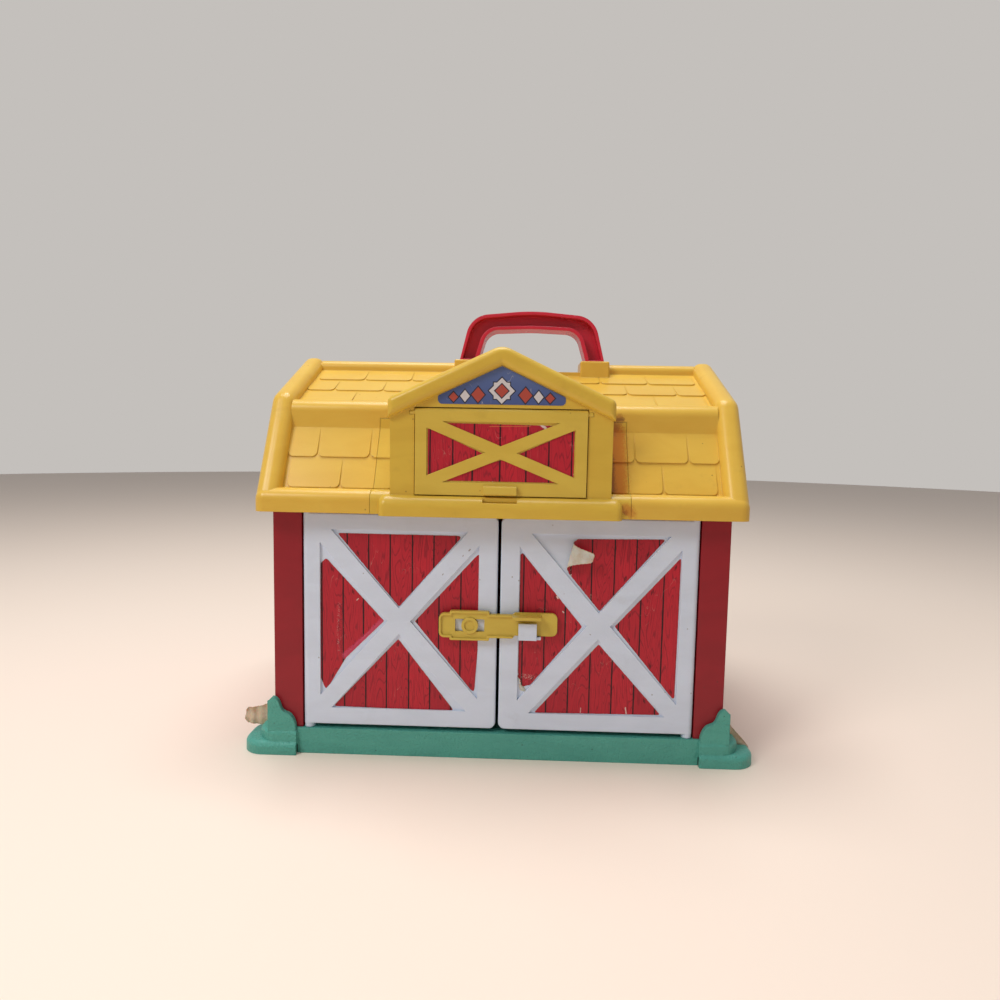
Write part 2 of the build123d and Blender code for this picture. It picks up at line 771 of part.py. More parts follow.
# --- dormer ---------------------------------------------------------------------------
def sill_section(inset):
    """Section of the sill that bulges out in front of the eave."""
    front = eave_run + bulge_reach - inset
    top = sill_top_z - inset
    radius = eave_roll_r - inset
    inner = lower_plane_run(top)
    bottom = sill_bottom_z if inset == 0 else sill_bottom_z - overcut
    corners = [(front, bottom), (front, top, radius), (inner, top), (inner, bottom)]
    return rounded_face([(y_of(corner[0]), *corner[1:]) for corner in corners])


def make_sill():
    """Sill with rounded ends and a finger scoop."""
    sill = along_x(sill_section(0), -sill_half_x, sill_half_x)
    ends = sill.edges().filter_by(Axis.Z).group_by(Axis.Y)[0]
    sill = fillet(ends, sill_end_r)
    front = y_of(eave_run + bulge_reach)
    sill -= block(-scoop_half_x, scoop_half_x, front - overcut, front + scoop_depth,
                  sill_top_z - scoop_drop, sill_top_z + overcut)
    sill -= along_x(sill_section(skin), -sill_half_x + skin, sill_half_x - skin)
    return sill


def gable_trim():
    """Thick rounded trim along the dormer's gable."""
    half = gable_trim_half_x()
    outer = gable_trim_apex_z
    inner = outer - gable_trim_drop
    corners = [
        (-half, gable_z(inner, half)),
        (-half, gable_z(outer, half), gable_trim_end_r),
        (0, outer, gable_trim_apex_r),
        (half, gable_z(outer, half), gable_trim_end_r),
        (half, gable_z(inner, half)),
        (0, inner),
    ]
    back = y_of(dormer_face_run - dormer_wall)
    trim = along_y(rounded_face(corners), back, y_of(dormer_face_run + gable_trim_reach))
    front_edges = trim.faces().sort_by(Axis.Y)[0].edges()
    return fillet(front_edges, gable_trim_r)


def gable_trim_half_x():
    """Half width of the gable trim."""
    return dormer_half_x + gable_trim_lap


def hatch_pivot_ears():
    """Thick places behind the dormer face that hold the hatch pins."""
    x0 = hatch_half_x + hatch_gap
    x1 = x0 + hatch_pin_reach + skin
    back = y_of(hatch_axis_run - 3 * hatch_pin_r)
    ear = block(x0, x1, y_of(dormer_face_run), back, hatch_axis_z - ear_half_z, hatch_axis_z + ear_half_z)
    return [ear, mirror(ear, about=Plane.YZ)]


def dormer_shell():
    """Dormer walls and roof, ended where they run into the main roof's skin."""
    back_run = ledge_half_y + seam
    shell = gable_prism(dormer_half_x, gable_skin_apex_z, sill_top_z - seam, dormer_face_run, back_run)
    hollow = along_x(roof_inner_section(skin), -dormer_half_x - overcut, dormer_half_x + overcut)
    root_y = y_of(lower_foot_run - overcut)
    return shell - (hollow & block(-verge_half_x, verge_half_x, root_y, y_of(0), 0, ridge_top_z))


def make_dormer(moulding):
    """Dormer moulding: strip of roof, sill, walls, roof, gable trim and face."""
    dormer = moulding & insert_zone(0)
    dormer -= block(-dormer_half_x, dormer_half_x, y_of(eave_run + overcut),
                    y_of(lower_plane_run(sill_top_z)), eave_z - overcut, eave_top_z + overcut)
    dormer += dormer_shell()
    inner_apex = gable_skin_apex_z - skin / cos(radians(gable_pitch))
    back_of_face = dormer_face_run - dormer_wall
    dormer -= gable_prism(dormer_half_x - skin, inner_apex, sill_top_z, back_of_face, 0)
    dormer += make_sill()
    dormer += gable_trim()
    dormer += hatch_pivot_ears()
    opening_x = hatch_half_x + hatch_gap
    opening_top = hatch_axis_z + hatch_thick / 2 + hatch_gap
    front = y_of(dormer_face_run + overcut)
    behind = y_of(back_of_face - hatch_thick)
    dormer -= block(-opening_x, opening_x, front, behind, sill_top_z, opening_top)
    pin_end = opening_x + hatch_pin_reach
    dormer -= rod_x(hatch_pin_r + pin_clearance, -pin_end, pin_end, y_of(hatch_axis_run), hatch_axis_z)
    return dormer


# --- hatch ----------------------------------------------------------------------------
def hatch_panel_bounds():
    """Recess of the hatch as half width, bottom and top."""
    top = hatch_axis_z + hatch_thick / 2
    return hatch_half_x - hatch_frame_x, hatch_bottom_z + hatch_frame_bottom, top - hatch_frame_top


def hatch_tab():
    """Grip tab along the hatch's lower edge."""
    face_y = y_of(hatch_axis_run + hatch_thick / 2)
    low_z = hatch_bottom_z + hatch_tab_lift
    tab = block(-hatch_tab_half_x, hatch_tab_half_x, face_y - hatch_tab_reach, face_y + overcut,
                low_z, low_z + hatch_tab_height)
    return fillet(tab.edges().filter_by(Axis.X).group_by(Axis.Y)[0], hatch_tab_r)


def make_hatch():
    """Top-hung hatch with a raised cross, a grip tab and two pins."""
    half_thick = hatch_thick / 2
    front_y = y_of(hatch_axis_run + half_thick)
    back_y = y_of(hatch_axis_run - half_thick)
    top = hatch_axis_z + half_thick
    round_r = half_thick - label_thick
    corners = [(front_y, hatch_bottom_z), (front_y, top, round_r)]
    corners += [(back_y, top, round_r), (back_y, hatch_bottom_z)]
    hatch = along_x(rounded_face(corners), -hatch_half_x, hatch_half_x)
    half_x, low_z, high_z = hatch_panel_bounds()
    rim = hatch_pocket_rim
    floor_y = front_y + hatch_recess
    hatch -= block(-half_x - rim, half_x + rim, floor_y + hatch_pocket_wall, back_y + overcut,
                   low_z - rim, high_z)
    hatch -= along_y(cross_panel_openings(half_x, low_z, high_z, hatch_beam), floor_y, front_y - overcut)
    hatch += hatch_tab()
    reach = hatch_half_x + hatch_gap + hatch_pin_reach - running_gap
    for sign in (-1, 1):
        root = sign * (hatch_half_x - overcut)
        hatch += rod_x(hatch_pin_r, root, sign * reach, y_of(hatch_axis_run), hatch_axis_z)
    return hatch


def make_hatch_label():
    """Four printed triangles in the hatch recess."""
    half_x, low_z, high_z = hatch_panel_bounds()
    face = cross_panel_openings(half_x - label_margin, low_z + label_margin, high_z - label_margin,
                                hatch_beam, label_margin)
    floor = hatch_axis_run + hatch_thick / 2 - hatch_recess
    return along_y(fillet(face.vertices(), label_margin), y_of(floor), y_of(floor + label_thick))


def make_sign_label():
    """Printed triangle under the gable trim."""
    apex = gable_trim_apex_z - gable_trim_drop - label_margin
    bottom = hatch_axis_z + sign_lift
    side = bottom + sign_side
    half = (apex - side) / tan(radians(gable_pitch))
    corners = [
        (-half, bottom, sign_corner_r),
        (half, bottom, sign_corner_r),
        (half, side, sign_corner_r / 2),
        (0, apex),
        (-half, side, sign_corner_r / 2),
    ]
    return along_y(rounded_face(corners), y_of(dormer_face_run), y_of(dormer_face_run + label_thick))


# --- doors ----------------------------------------------------------------------------
def door_pin_x():
    """X of the right door's hinge axis."""
    return door_edge_x - door_thick / 2


def door_pin_y():
    """Y of both hinge axes."""
    return y_of(door_face_run) + door_thick / 2


def door_recess_bounds():
    """Right door's recess as inner X, outer X, bottom and top."""
    inner = door_gap / 2 + door_stile_inner
    outer = door_edge_x - door_stile_outer
    return inner, outer, door_bottom_z + door_rail_bottom, door_top_z - door_rail_top


def door_openings(grow, top_margin):
    """Recess triangles of the right door; grow leaves a margin for the labels."""
    inner, outer, low_z, high_z = door_recess_bounds()
    half = (outer - inner) / 2
    full = cross_panel_openings(half, low_z, high_z, door_beam, grow)
    if grow:
        height = high_z - top_margin - low_z - grow
        middle = low_z + grow + height / 2
        full &= Pos(0, middle) * Rectangle(2 * (half - grow), height)
    return Pos((inner + outer) / 2, 0) * full


def door_pins():
    """Collar and pins on the right door's hinge axis."""
    x = door_pin_x()
    y = door_pin_y()
    pins = rod_z(door_collar_r, x, y, base_top + running_gap, door_bottom_z)
    pins += rod_z(door_pin_r, x, y, base_top - door_pin_depth, door_bottom_z)
    return pins + rod_z(door_pin_r, x, y, door_top_z, deck_top_z - running_gap)


def make_door_blank():
    """Right door without latch parts."""
    face_y = y_of(door_face_run)
    inner = door_gap / 2
    corners = [
        (inner, door_bottom_z, door_corner_r),
        (door_pin_x(), door_bottom_z),
        (door_pin_x(), door_top_z),
        (inner, door_top_z, door_corner_r),
    ]
    door = along_y(rounded_face(corners), face_y + door_thick, face_y)
    outline = door.faces().sort_by(Axis.Y)[0].edges()
    door = fillet(outline.filter_by(lambda edge: edge.center().X < door_pin_x() - seam), door_edge_r)
    door += rod_z(door_thick / 2, door_pin_x(), door_pin_y(), door_bottom_z, door_top_z)
    door -= along_y(door_openings(0, 0), face_y + door_recess, face_y - overcut)
    pocket_end = door_pin_x() - door_thick / 2 - door_rim / 2
    door -= block(inner + door_rim, pocket_end, face_y + door_plate, face_y + door_thick + overcut,
                  door_bottom_z + door_rim, door_top_z - door_rim)
    return door + door_pins()


def keeper_bounds():
    """Keeper's left X, right X, shelf bottom and shelf top."""
    left = door_recess_bounds()[0]
    shelf_top = latch_z - latch_arm_low - running_gap
    return left, left + keeper_width, shelf_top - keeper_shelf, shelf_top


def make_door_right():
    """Right door with the hooked keeper of the latch."""
    face_y = y_of(door_face_run)
    left, right, shelf_bottom, shelf_top = keeper_bounds()
    lip_back = face_y - latch_back - latch_plate - latch_rim - running_gap
    lip_front = lip_back - keeper_lip_thick
    floor = face_y + door_recess + keeper_root
    keeper = block(left, right, lip_front, lip_back, shelf_bottom, latch_z + keeper_lip_rise)
    keeper += block(left, right, lip_front, floor, shelf_bottom, shelf_top)
    keeper += block(left, left + keeper_foot_width, lip_back, floor, shelf_bottom, shelf_top)
    return make_door_blank() + keeper


def latch_boss_block(gap, y0, y1):
    """Block behind the latch's windows, grown by a gap all round."""
    half_x = latch_boss_half_x + gap
    half_z = latch_boss_half_z + gap
    return block(latch_x - half_x, latch_x + half_x, y0, y1, latch_z - half_z, latch_z + half_z)


def make_door_left():
    """Left door with the round boss that carries the latch."""
    face_y = y_of(door_face_run)
    door = mirror(make_door_blank(), about=Plane.YZ)
    boss_front = face_y - latch_back + running_gap
    boss_back = face_y + door_recess + keeper_root
    door += rod_y(latch_boss_r, latch_x, boss_front, boss_back, latch_z)
    door += latch_boss_block(0, boss_front, boss_back)
    door -= rod_y(latch_pin_r + pin_clearance, latch_x, boss_front - overcut, face_y + door_thick, latch_z)
    return door


def make_door_label():
    """Four printed triangles in the right door's recess."""
    floor_y = y_of(door_face_run) + door_recess
    face = door_openings(label_margin, label_top_margin)
    label = along_y(fillet(face.vertices(), label_corner_r), floor_y, floor_y - label_thick)
    return label


def make_door_label_right():
    """Right door's labels, cut round the keeper."""
    floor_y = y_of(door_face_run) + door_recess
    left, _, shelf_bottom, shelf_top = keeper_bounds()
    gap = label_margin
    cut = block(left - gap, left + keeper_foot_width + gap, floor_y - overcut, floor_y + overcut,
                shelf_bottom - gap, shelf_top + gap)
    return make_door_label() - cut


def make_door_label_left():
    """Left door's labels, cut round the latch boss."""
    floor_y = y_of(door_face_run) + door_recess
    label = mirror(make_door_label(), about=Plane.YZ)
    label -= rod_y(latch_boss_r + label_margin, latch_x, floor_y - overcut, floor_y + overcut, latch_z)
    return label - latch_boss_block(label_margin, floor_y - overcut, floor_y + overcut)


# --- latch ----------------------------------------------------------------------------
def latch_outline(shrink):
    """Latch plate outline round its pivot, (X, Z) from the pivot."""
    lug = latch_lug_end - shrink
    half = latch_body_half - shrink
    corner = latch_corner_r - shrink
    root = latch_root_half - shrink
    root_end = latch_tab_left + latch_root_step
    low = -latch_arm_low + shrink
    high = latch_arm_high - shrink
    return [
        (-lug, -latch_lug_half + shrink, corner),
        (-latch_body_left + shrink, -latch_lug_half + shrink),
        (-latch_body_left + shrink, -half, latch_body_r),
        (latch_body_right - shrink, -half, latch_body_r),
        (latch_body_right - shrink, -root),
        (latch_tab_left, -root),
        (root_end, low),
        (latch_arm_end - shrink, low, corner),
        (latch_arm_end - shrink, high, corner),
        (root_end, high),
        (latch_tab_left, root),
        (latch_body_right - shrink, root),
        (latch_body_right - shrink, half, latch_body_r),
        (-latch_body_left + shrink, half, latch_body_r),
        (-latch_body_left + shrink, latch_lug_half - shrink),
        (-lug, latch_lug_half - shrink, corner),
    ]


def latch_snap_pin():
    """Pin from the latch's back through the door, with a flare behind the door's plate."""
    back = y_of(door_face_run) - latch_back
    flare_front = y_of(door_face_run) + door_plate + running_gap
    flare_back = flare_front + latch_flare
    pin = rod_y(latch_pin_r, 0, back - overcut, flare_back, 0)
    return pin + rod_y(latch_flare_r, 0, flare_front, flare_back, 0)


def make_latch():
    """Pivoting bar with a raised rim, a windowed hub and a finger tab."""
    back = y_of(door_face_run) - latch_back
    face = back - latch_plate
    front = face - latch_rim
    latch = along_y(rounded_face(latch_outline(0)), back, front)
    latch -= along_y(rounded_face(latch_outline(latch_rim_width)), face, front - overcut)
    latch -= block(latch_tab_left, latch_arm_end + overcut, face, front - overcut,
                   -latch_arm_low - overcut, latch_arm_high + overcut)
    latch -= block(-latch_window_half_x, latch_window_half_x, front - overcut, back + overcut,
                   -latch_window_half_z, latch_window_half_z)
    latch += rod_y(latch_hub_r, 0, back, front + latch_hub_proud, 0)
    latch -= rod_y(latch_hub_r - latch_hub_wall, 0, face, front - overcut, 0)
    tab_top = latch_arm_high - latch_tab_drop
    latch += block(latch_tab_left, latch_tab_right, face - latch_tab_reach, face + overcut,
                   tab_top - latch_tab_thick, tab_top)
    return Pos(latch_x, 0, latch_z) * (latch + latch_snap_pin())


# --- handle ---------------------------------------------------------------------------
def handle_outline(shrink, foot_z):
    """Arched handle outline round its own centre, (X, Z)."""
    foot = handle_foot_half_x - shrink
    inner = handle_inner_half_x + shrink
    bend_z = socket_top_z + shrink
    shoulder = handle_foot_half_x - handle_shoulder_in - shrink
    grip = handle_foot_half_x - handle_shoulder_in - handle_grip_in + shrink
    shoulder_z = handle_shoulder_z - shrink
    grip_z = handle_shoulder_z - handle_grip_thick + shrink
    outer_r = handle_outer_r - shrink
    inner_r = handle_inner_r + shrink
    outer = [
        (foot, foot_z),
        (foot, bend_z),
        (shoulder, shoulder_z, outer_r),
        (0, shoulder_z + handle_crown, handle_crown_r),
        (-shoulder, shoulder_z, outer_r),
        (-foot, bend_z),
        (-foot, foot_z),
    ]
    hole = [
        (-inner, foot_z),
        (-inner, bend_z),
        (-grip, grip_z, inner_r),
        (0, grip_z + handle_grip_crown, handle_crown_r),
        (grip, grip_z, inner_r),
        (inner, bend_z),
        (inner, foot_z),
    ]
    return rounded_face(outer + hole)


def make_handle():
    """I-section carrying handle with solid feet."""
    half = handle_depth / 2
    handle = along_y(handle_outline(0, socket_floor_z + seam), half, -half)
    pocket = handle_outline(handle_flange, socket_top_z + overcut)
    handle -= along_y(pocket, half + overcut, handle_web / 2)
    handle -= along_y(pocket, -handle_web / 2, -half - overcut)
    handle = Pos(handle_x, ridge_y, 0) * handle
    tip = socket_bottom_z + screw_length
    for x, y in handle_screw_places():
        handle -= rod_z(screw_r + pilot_clearance, x, y, socket_floor_z - overcut, tip + screw_floor)
    return handle


# --- side labels ----------------------------------------------------------------------
def make_side_label():
    """Printed sheet on the outside of the right wall."""
    front = y_of(door_face_run - wall_setback) + side_label_margin
    back = y_of(-door_face_run) - wall_setback - side_label_margin
    bottom = base_top + side_label_margin
    top = deck_z - side_label_top_margin
    corners = [(front, bottom), (back, bottom), (back, top), (front, top)]
    face = rounded_face([(*corner, label_corner_r) for corner in corners])
    return along_x(face, wall_half_x, wall_half_x + label_thick)


def make_parts():
    """Every node by name."""
    moulding = full_roof()
    side_wall = make_side_wall()
    side_label = make_side_label()
    return {
        "base": make_base(),
        "side_wall_left": mirror(side_wall, about=Plane.YZ),
        "side_wall_right": side_wall,
        "back_wall": make_back_wall(),
        "loft_floor": make_loft_floor(),
        "roof": make_roof(moulding),
        "dormer": make_dormer(moulding),
        "hatch": make_hatch(),
        "hatch_label": make_hatch_label(),
        "sign_label": make_sign_label(),
        "door_left": make_door_left(),
        "door_right": make_door_right(),
        "door_label_left": make_door_label_left(),
        "door_label_right": make_door_label_right(),
        "latch": make_latch(),
        "handle": make_handle(),
        "side_label_left": mirror(side_label, about=Plane.YZ),
        "side_label_right": side_label,
        "base_screws": screw_group(base_screw_places(), base_screw_z()),
        "loft_screws": screw_group(loft_screw_places(), deck_z),
        "handle_screws": screw_group(handle_screw_places(), socket_bottom_z),
    }


os.makedirs("parts", exist_ok=True)
for node, solid in make_parts().items():
    export_step(solid, f"parts/{node}.step")
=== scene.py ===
"""Finishes, printed labels, curled paper and studio for a toy barn with opening doors.

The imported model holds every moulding. This script gives each moulding its plastic, lays the
printed sheets into their recesses with their creases, tears and curls, and sets the stage.
Sizes in dataclass fields are millimetres in the model's frame; meshes are in metres.
"""

import logging
from dataclasses import dataclass, field
from enum import Enum
from math import cos, hypot, pi, radians, sin

import bmesh
import bpy
import numpy as np
from mathutils import Matrix, Vector


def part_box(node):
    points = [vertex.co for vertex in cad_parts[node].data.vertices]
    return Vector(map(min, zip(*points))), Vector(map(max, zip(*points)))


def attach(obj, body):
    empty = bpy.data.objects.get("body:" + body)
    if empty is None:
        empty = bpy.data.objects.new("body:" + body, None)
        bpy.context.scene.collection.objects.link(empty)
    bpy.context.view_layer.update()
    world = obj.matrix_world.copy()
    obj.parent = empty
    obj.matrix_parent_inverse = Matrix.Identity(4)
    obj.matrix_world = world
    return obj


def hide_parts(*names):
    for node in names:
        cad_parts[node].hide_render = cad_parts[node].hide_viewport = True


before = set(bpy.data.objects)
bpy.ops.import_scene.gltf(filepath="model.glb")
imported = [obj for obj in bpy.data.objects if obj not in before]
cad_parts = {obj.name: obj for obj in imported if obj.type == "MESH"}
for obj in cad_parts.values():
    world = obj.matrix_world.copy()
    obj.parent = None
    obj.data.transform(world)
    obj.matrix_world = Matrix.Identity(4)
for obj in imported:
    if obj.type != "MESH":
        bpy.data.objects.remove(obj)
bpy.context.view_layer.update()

MM = 0.001
MERGE_DISTANCE = 1e-7
ARC_POINTS = 13
LOG = logging.getLogger("barn")

Socket = bpy.types.NodeSocket
Material = bpy.types.Material


# --- colours --------------------------------------------------------------------------
@dataclass(frozen=True)
class Tint:
    """A colour as the eye's 0 to 255 values."""

    red: int
    green: int
    blue: int

    def linear(self) -> tuple[float, float, float, float]:
        """The colour in linear light: a straight run near black, then a power of 2.4.

        Returns:
            Red, green, blue and full alpha.
        """
        steps = np.array([self.red, self.green, self.blue]) / 255
        curve = np.where(steps <= 0.04045, steps / 12.92, ((steps + 0.055) / 1.055) ** 2.4)
        return (*[float(value) for value in curve], 1.0)


WHITE = Tint(255, 255, 255)


# --- node graphs ----------------------------------------------------------------------
class Graph:
    """A shader node tree with short calls for the nodes that the finishes need."""

    def __init__(self, tree: bpy.types.NodeTree) -> None:
        """Keep the tree that the calls add to."""
        self.tree = tree

    def feed(self, socket: Socket, value: object) -> None:
        """Link a socket to the input, or set the input to a constant.

        Args:
            socket: the input to fill.
            value: an output socket, a Tint or a plain value.
        """
        if isinstance(value, Socket):
            self.tree.links.new(value, socket)
        elif isinstance(value, Tint):
            socket.default_value = value.linear()
        else:
            socket.default_value = value

    def fill(self, node: bpy.types.Node, inputs: dict[str | int, object]) -> None:
        """Feed several inputs of a node, given by socket name or number."""
        for key, value in inputs.items():
            self.feed(node.inputs[key], value)

    def add(self, kind: str, inputs: dict[str | int, object] | None = None,
            **settings: object) -> bpy.types.Node:
        """A new node.

        Args:
            kind: the node's type name.
            inputs: values or links by socket name or number.
            settings: the node's own properties.

        Returns:
            The node.
        """
        node = self.tree.nodes.new(kind)
        for name, value in settings.items():
            setattr(node, name, value)
        self.fill(node, inputs or {})
        return node

    def math(self, operation: str, *values: object) -> Socket:
        """One arithmetic step on numbers or sockets."""
        return self.add("ShaderNodeMath", dict(enumerate(values)), operation=operation).outputs[0]

    def times(self, first: object, second: object) -> Socket:
        """One number times another."""
        return self.math("MULTIPLY", first, second)

    def times_plus(self, first: object, second: object, third: object) -> Socket:
        """One number times another, plus a third."""
        return self.math("MULTIPLY_ADD", first, second, third)

    def vector(self, operation: str, *values: object, output: str = "Vector") -> Socket:
        """One arithmetic step on vectors; the output is "Vector" or the number "Value"."""
        return self.add("ShaderNodeVectorMath", dict(enumerate(values)), operation=operation).outputs[output]

    def scaled(self, vector: object, factor: object) -> Socket:
        """A vector times a number."""
        return self.add("ShaderNodeVectorMath", {0: vector, "Scale": factor}, operation="SCALE").outputs[0]

    def smooth(self, value: object, low: float, high: float) -> Socket:
        """Smooth step from 0 at low to 1 at high; low above high turns it round.

        Args:
            value: the number to step on.
            low: the number that gives 0.
            high: the number that gives 1.

        Returns:
            The step, 0 to 1.
        """
        inputs = {"Value": value, "From Min": min(low, high), "From Max": max(low, high)}
        if low > high:
            inputs |= {"To Min": 1.0, "To Max": 0.0}
        return self.add("ShaderNodeMapRange", inputs, interpolation_type="SMOOTHSTEP").outputs["Result"]

    def mix(self, share: object, first: object, second: object) -> Socket:
        """Mix of two colours, with this share of the second."""
        inputs = {0: share, 6: first, 7: second}
        return self.add("ShaderNodeMix", inputs, data_type="RGBA", blend_type="MIX").outputs[2]

    def cover(self, colour: Socket | Tint, tint: Tint, mask: Socket, amount: float) -> Socket:
        """A colour with a tint over it where a mask is, as strong as the amount."""
        return self.mix(self.times(mask, amount), colour, tint)

    def noise(self, place: object, scale: object, detail: float = 2.0, rough: float = 0.5,
              warp: float = 0.0) -> Socket:
        """Noise value of a place.

        Args:
            place: the place, as a vector.
            scale: how many swells there are to a unit of length.
            detail: how many finer layers are added.
            rough: how strong each finer layer is against the last.
            warp: how far the swells are pushed about.

        Returns:
            The value, 0 to 1.
        """
        inputs = {"Vector": place, "Scale": scale, "Detail": detail, "Roughness": rough, "Distortion": warp}
        return self.add("ShaderNodeTexNoise", inputs).outputs[0]

    def split(self, vector: object) -> list[Socket]:
        """The three parts of a vector."""
        return list(self.add("ShaderNodeSeparateXYZ", {0: vector}).outputs)

    def join(self, x: object, y: object, z: object) -> Socket:
        """A vector from its parts."""
        return self.add("ShaderNodeCombineXYZ", {0: x, 1: y, 2: z}).outputs[0]

    def attribute(self, name: str, output: str) -> Socket:
        """An attribute of the piece; the output is "Vector" or the number "Fac"."""
        return self.add("ShaderNodeAttribute", attribute_name=name).outputs[output]

    def group(self, tree: bpy.types.NodeTree, **inputs: object) -> dict[str, Socket]:
        """Place a node group with its own values.

        Args:
            tree: the group.
            inputs: its inputs by name.

        Returns:
            Its outputs by name.
        """
        node = self.add("ShaderNodeGroup", node_tree=tree)
        self.fill(node, inputs)
        return {output.name: output for output in node.outputs}


class GroupBuilder(Graph):
    """A named node group with its input and output sockets."""

    def __init__(self, name: str, inputs: dict[str, str], outputs: dict[str, str]) -> None:
        """Make the group and its sockets.

        Args:
            name: the group's name.
            inputs: kinds of the input sockets by name.
            outputs: kinds of the output sockets by name.
        """
        super().__init__(bpy.data.node_groups.new(name, "ShaderNodeTree"))
        for side, sockets in (("INPUT", inputs), ("OUTPUT", outputs)):
            for label, kind in sockets.items():
                self.tree.interface.new_socket(name=label, in_out=side, socket_type=f"NodeSocket{kind}")
        self.source = self.tree.nodes.new("NodeGroupInput").outputs
        self.sink = self.tree.nodes.new("NodeGroupOutput").inputs


# --- shared effects -------------------------------------------------------------------
class Effects:
    """Node groups that several finishes share, each built once."""

    def __init__(self) -> None:
        """Build every group."""
        self.soft_edges = self.build_soft_edges()
        self.moulding = self.build_moulding()
        self.grime = self.build_grime()
        self.streak = self.build_streak()
        self.planks = self.build_planks()

    @staticmethod
    def build_soft_edges() -> bpy.types.NodeTree:
        """Rounded normals near edges, and a mask of where they are.

        Edge is one minus the cosine between the rounded and the true normal, stretched to 0..1.

        Returns:
            The group; its Radius is in metres.
        """
        g = GroupBuilder("soft_edges", {"Radius": "Float"}, {"Normal": "Vector", "Edge": "Float"})
        rounded = g.add("ShaderNodeBevel", {"Radius": g.source["Radius"]}, samples=6).outputs[0]
        true = g.add("ShaderNodeNewGeometry").outputs["Normal"]
        cosine = g.vector("DOT_PRODUCT", rounded, true, output="Value")
        g.feed(g.sink["Normal"], rounded)
        g.feed(g.sink["Edge"], g.smooth(g.math("SUBTRACT", 1.0, cosine), low=0.01, high=0.22))
        return g.tree

    @staticmethod
    def build_moulding() -> bpy.types.NodeTree:
        """Orange-peel height and slow colour mottle of injection-moulded plastic.

        Height is a fine noise plus half of a slow one that is drawn out along the surface, and
        Mottle is the slow one, stretched to 0..1.

        Returns:
            The group; Place is in metres and Grain is the fine noise's scale.
        """
        g = GroupBuilder("moulding", {"Place": "Vector", "Grain": "Float"},
                         {"Height": "Float", "Mottle": "Float"})
        flow_share = 0.5
        fine = g.noise(g.source["Place"], g.source["Grain"], detail=3.0, rough=0.6)
        drawn_out = g.vector("MULTIPLY", g.source["Place"], (1.0, 1.0, 3.0))
        flow = g.noise(drawn_out, 22.0, detail=4.0, rough=0.55, warp=0.6)
        g.feed(g.sink["Height"], g.times_plus(flow, flow_share, fine))
        g.feed(g.sink["Mottle"], g.smooth(flow, low=0.35, high=0.68))
        return g.tree

    @staticmethod
    def build_grime() -> bpy.types.NodeTree:
        """Small dark specks, faint smudges and hairline scratches.

        Specks are the middles of those Voronoi cells whose random value passes the amount.
        Scratches are contour lines of a noise stretched along a slant, broken by another noise.

        Returns:
            The group; Place is in metres and Amount is the share of cells with a speck.
        """
        g = GroupBuilder("grime", {"Place": "Vector", "Amount": "Float"},
                         {"Specks": "Float", "Smudge": "Float", "Scratch": "Float"})
        place, contours = g.source["Place"], 9.0
        cells = g.add("ShaderNodeTexVoronoi", {"Vector": place, "Scale": 210.0}).outputs
        chosen = g.math("LESS_THAN", g.split(cells["Color"])[0], g.source["Amount"])
        g.feed(g.sink["Specks"], g.times(chosen, g.smooth(cells["Distance"], low=0.17, high=0.06)))
        smudge = g.noise(place, 34.0, detail=5.0, rough=0.7)
        g.feed(g.sink["Smudge"], g.smooth(smudge, low=0.58, high=0.78))
        slanted = g.vector("MULTIPLY", place, (2.2, 2.2, 0.7))
        from_contour = g.math("PINGPONG", g.times(g.noise(slanted, 30.0, warp=1.5), contours), 0.5)
        broken = g.smooth(g.noise(place, 60.0), low=0.56, high=0.66)
        g.feed(g.sink["Scratch"], g.times(g.smooth(from_contour, low=0.035, high=0.0), broken))
        return g.tree

    @staticmethod
    def build_streak() -> bpy.types.NodeTree:
        """Ragged mark along a straight stretch from Start to End.

        The distance to the stretch is that to the nearest point of the segment, disturbed by a
        noise as wide as the mark. The mark fades out as that distance nears its width.

        Returns:
            The group; all its inputs are in millimetres.
        """
        inputs = {"Place": "Vector", "Start": "Vector", "End": "Vector", "Width": "Float"}
        g = GroupBuilder("streak", inputs, {"Mark": "Float"})
        start, end, width = g.source["Start"], g.source["End"], g.source["Width"]
        raggedness = 1.6
        offset = g.vector("SUBTRACT", g.source["Place"], start)
        run = g.vector("SUBTRACT", end, start)
        squared = g.vector("DOT_PRODUCT", run, run, output="Value")
        share = g.math("DIVIDE", g.vector("DOT_PRODUCT", offset, run, output="Value"), squared)
        share = g.math("MINIMUM", g.math("MAXIMUM", share, 0.0), 1.0)
        away = g.vector("LENGTH", g.vector("SUBTRACT", offset, g.scaled(run, share)), output="Value")
        ragged = g.math("SUBTRACT", g.noise(g.source["Place"], 0.9, detail=4.0, rough=0.7), 0.5)
        away = g.math("ADD", away, g.times(g.times(ragged, width), raggedness))
        g.feed(g.sink["Mark"], g.smooth(g.math("DIVIDE", away, width), low=1.0, high=0.35))
        return g.tree

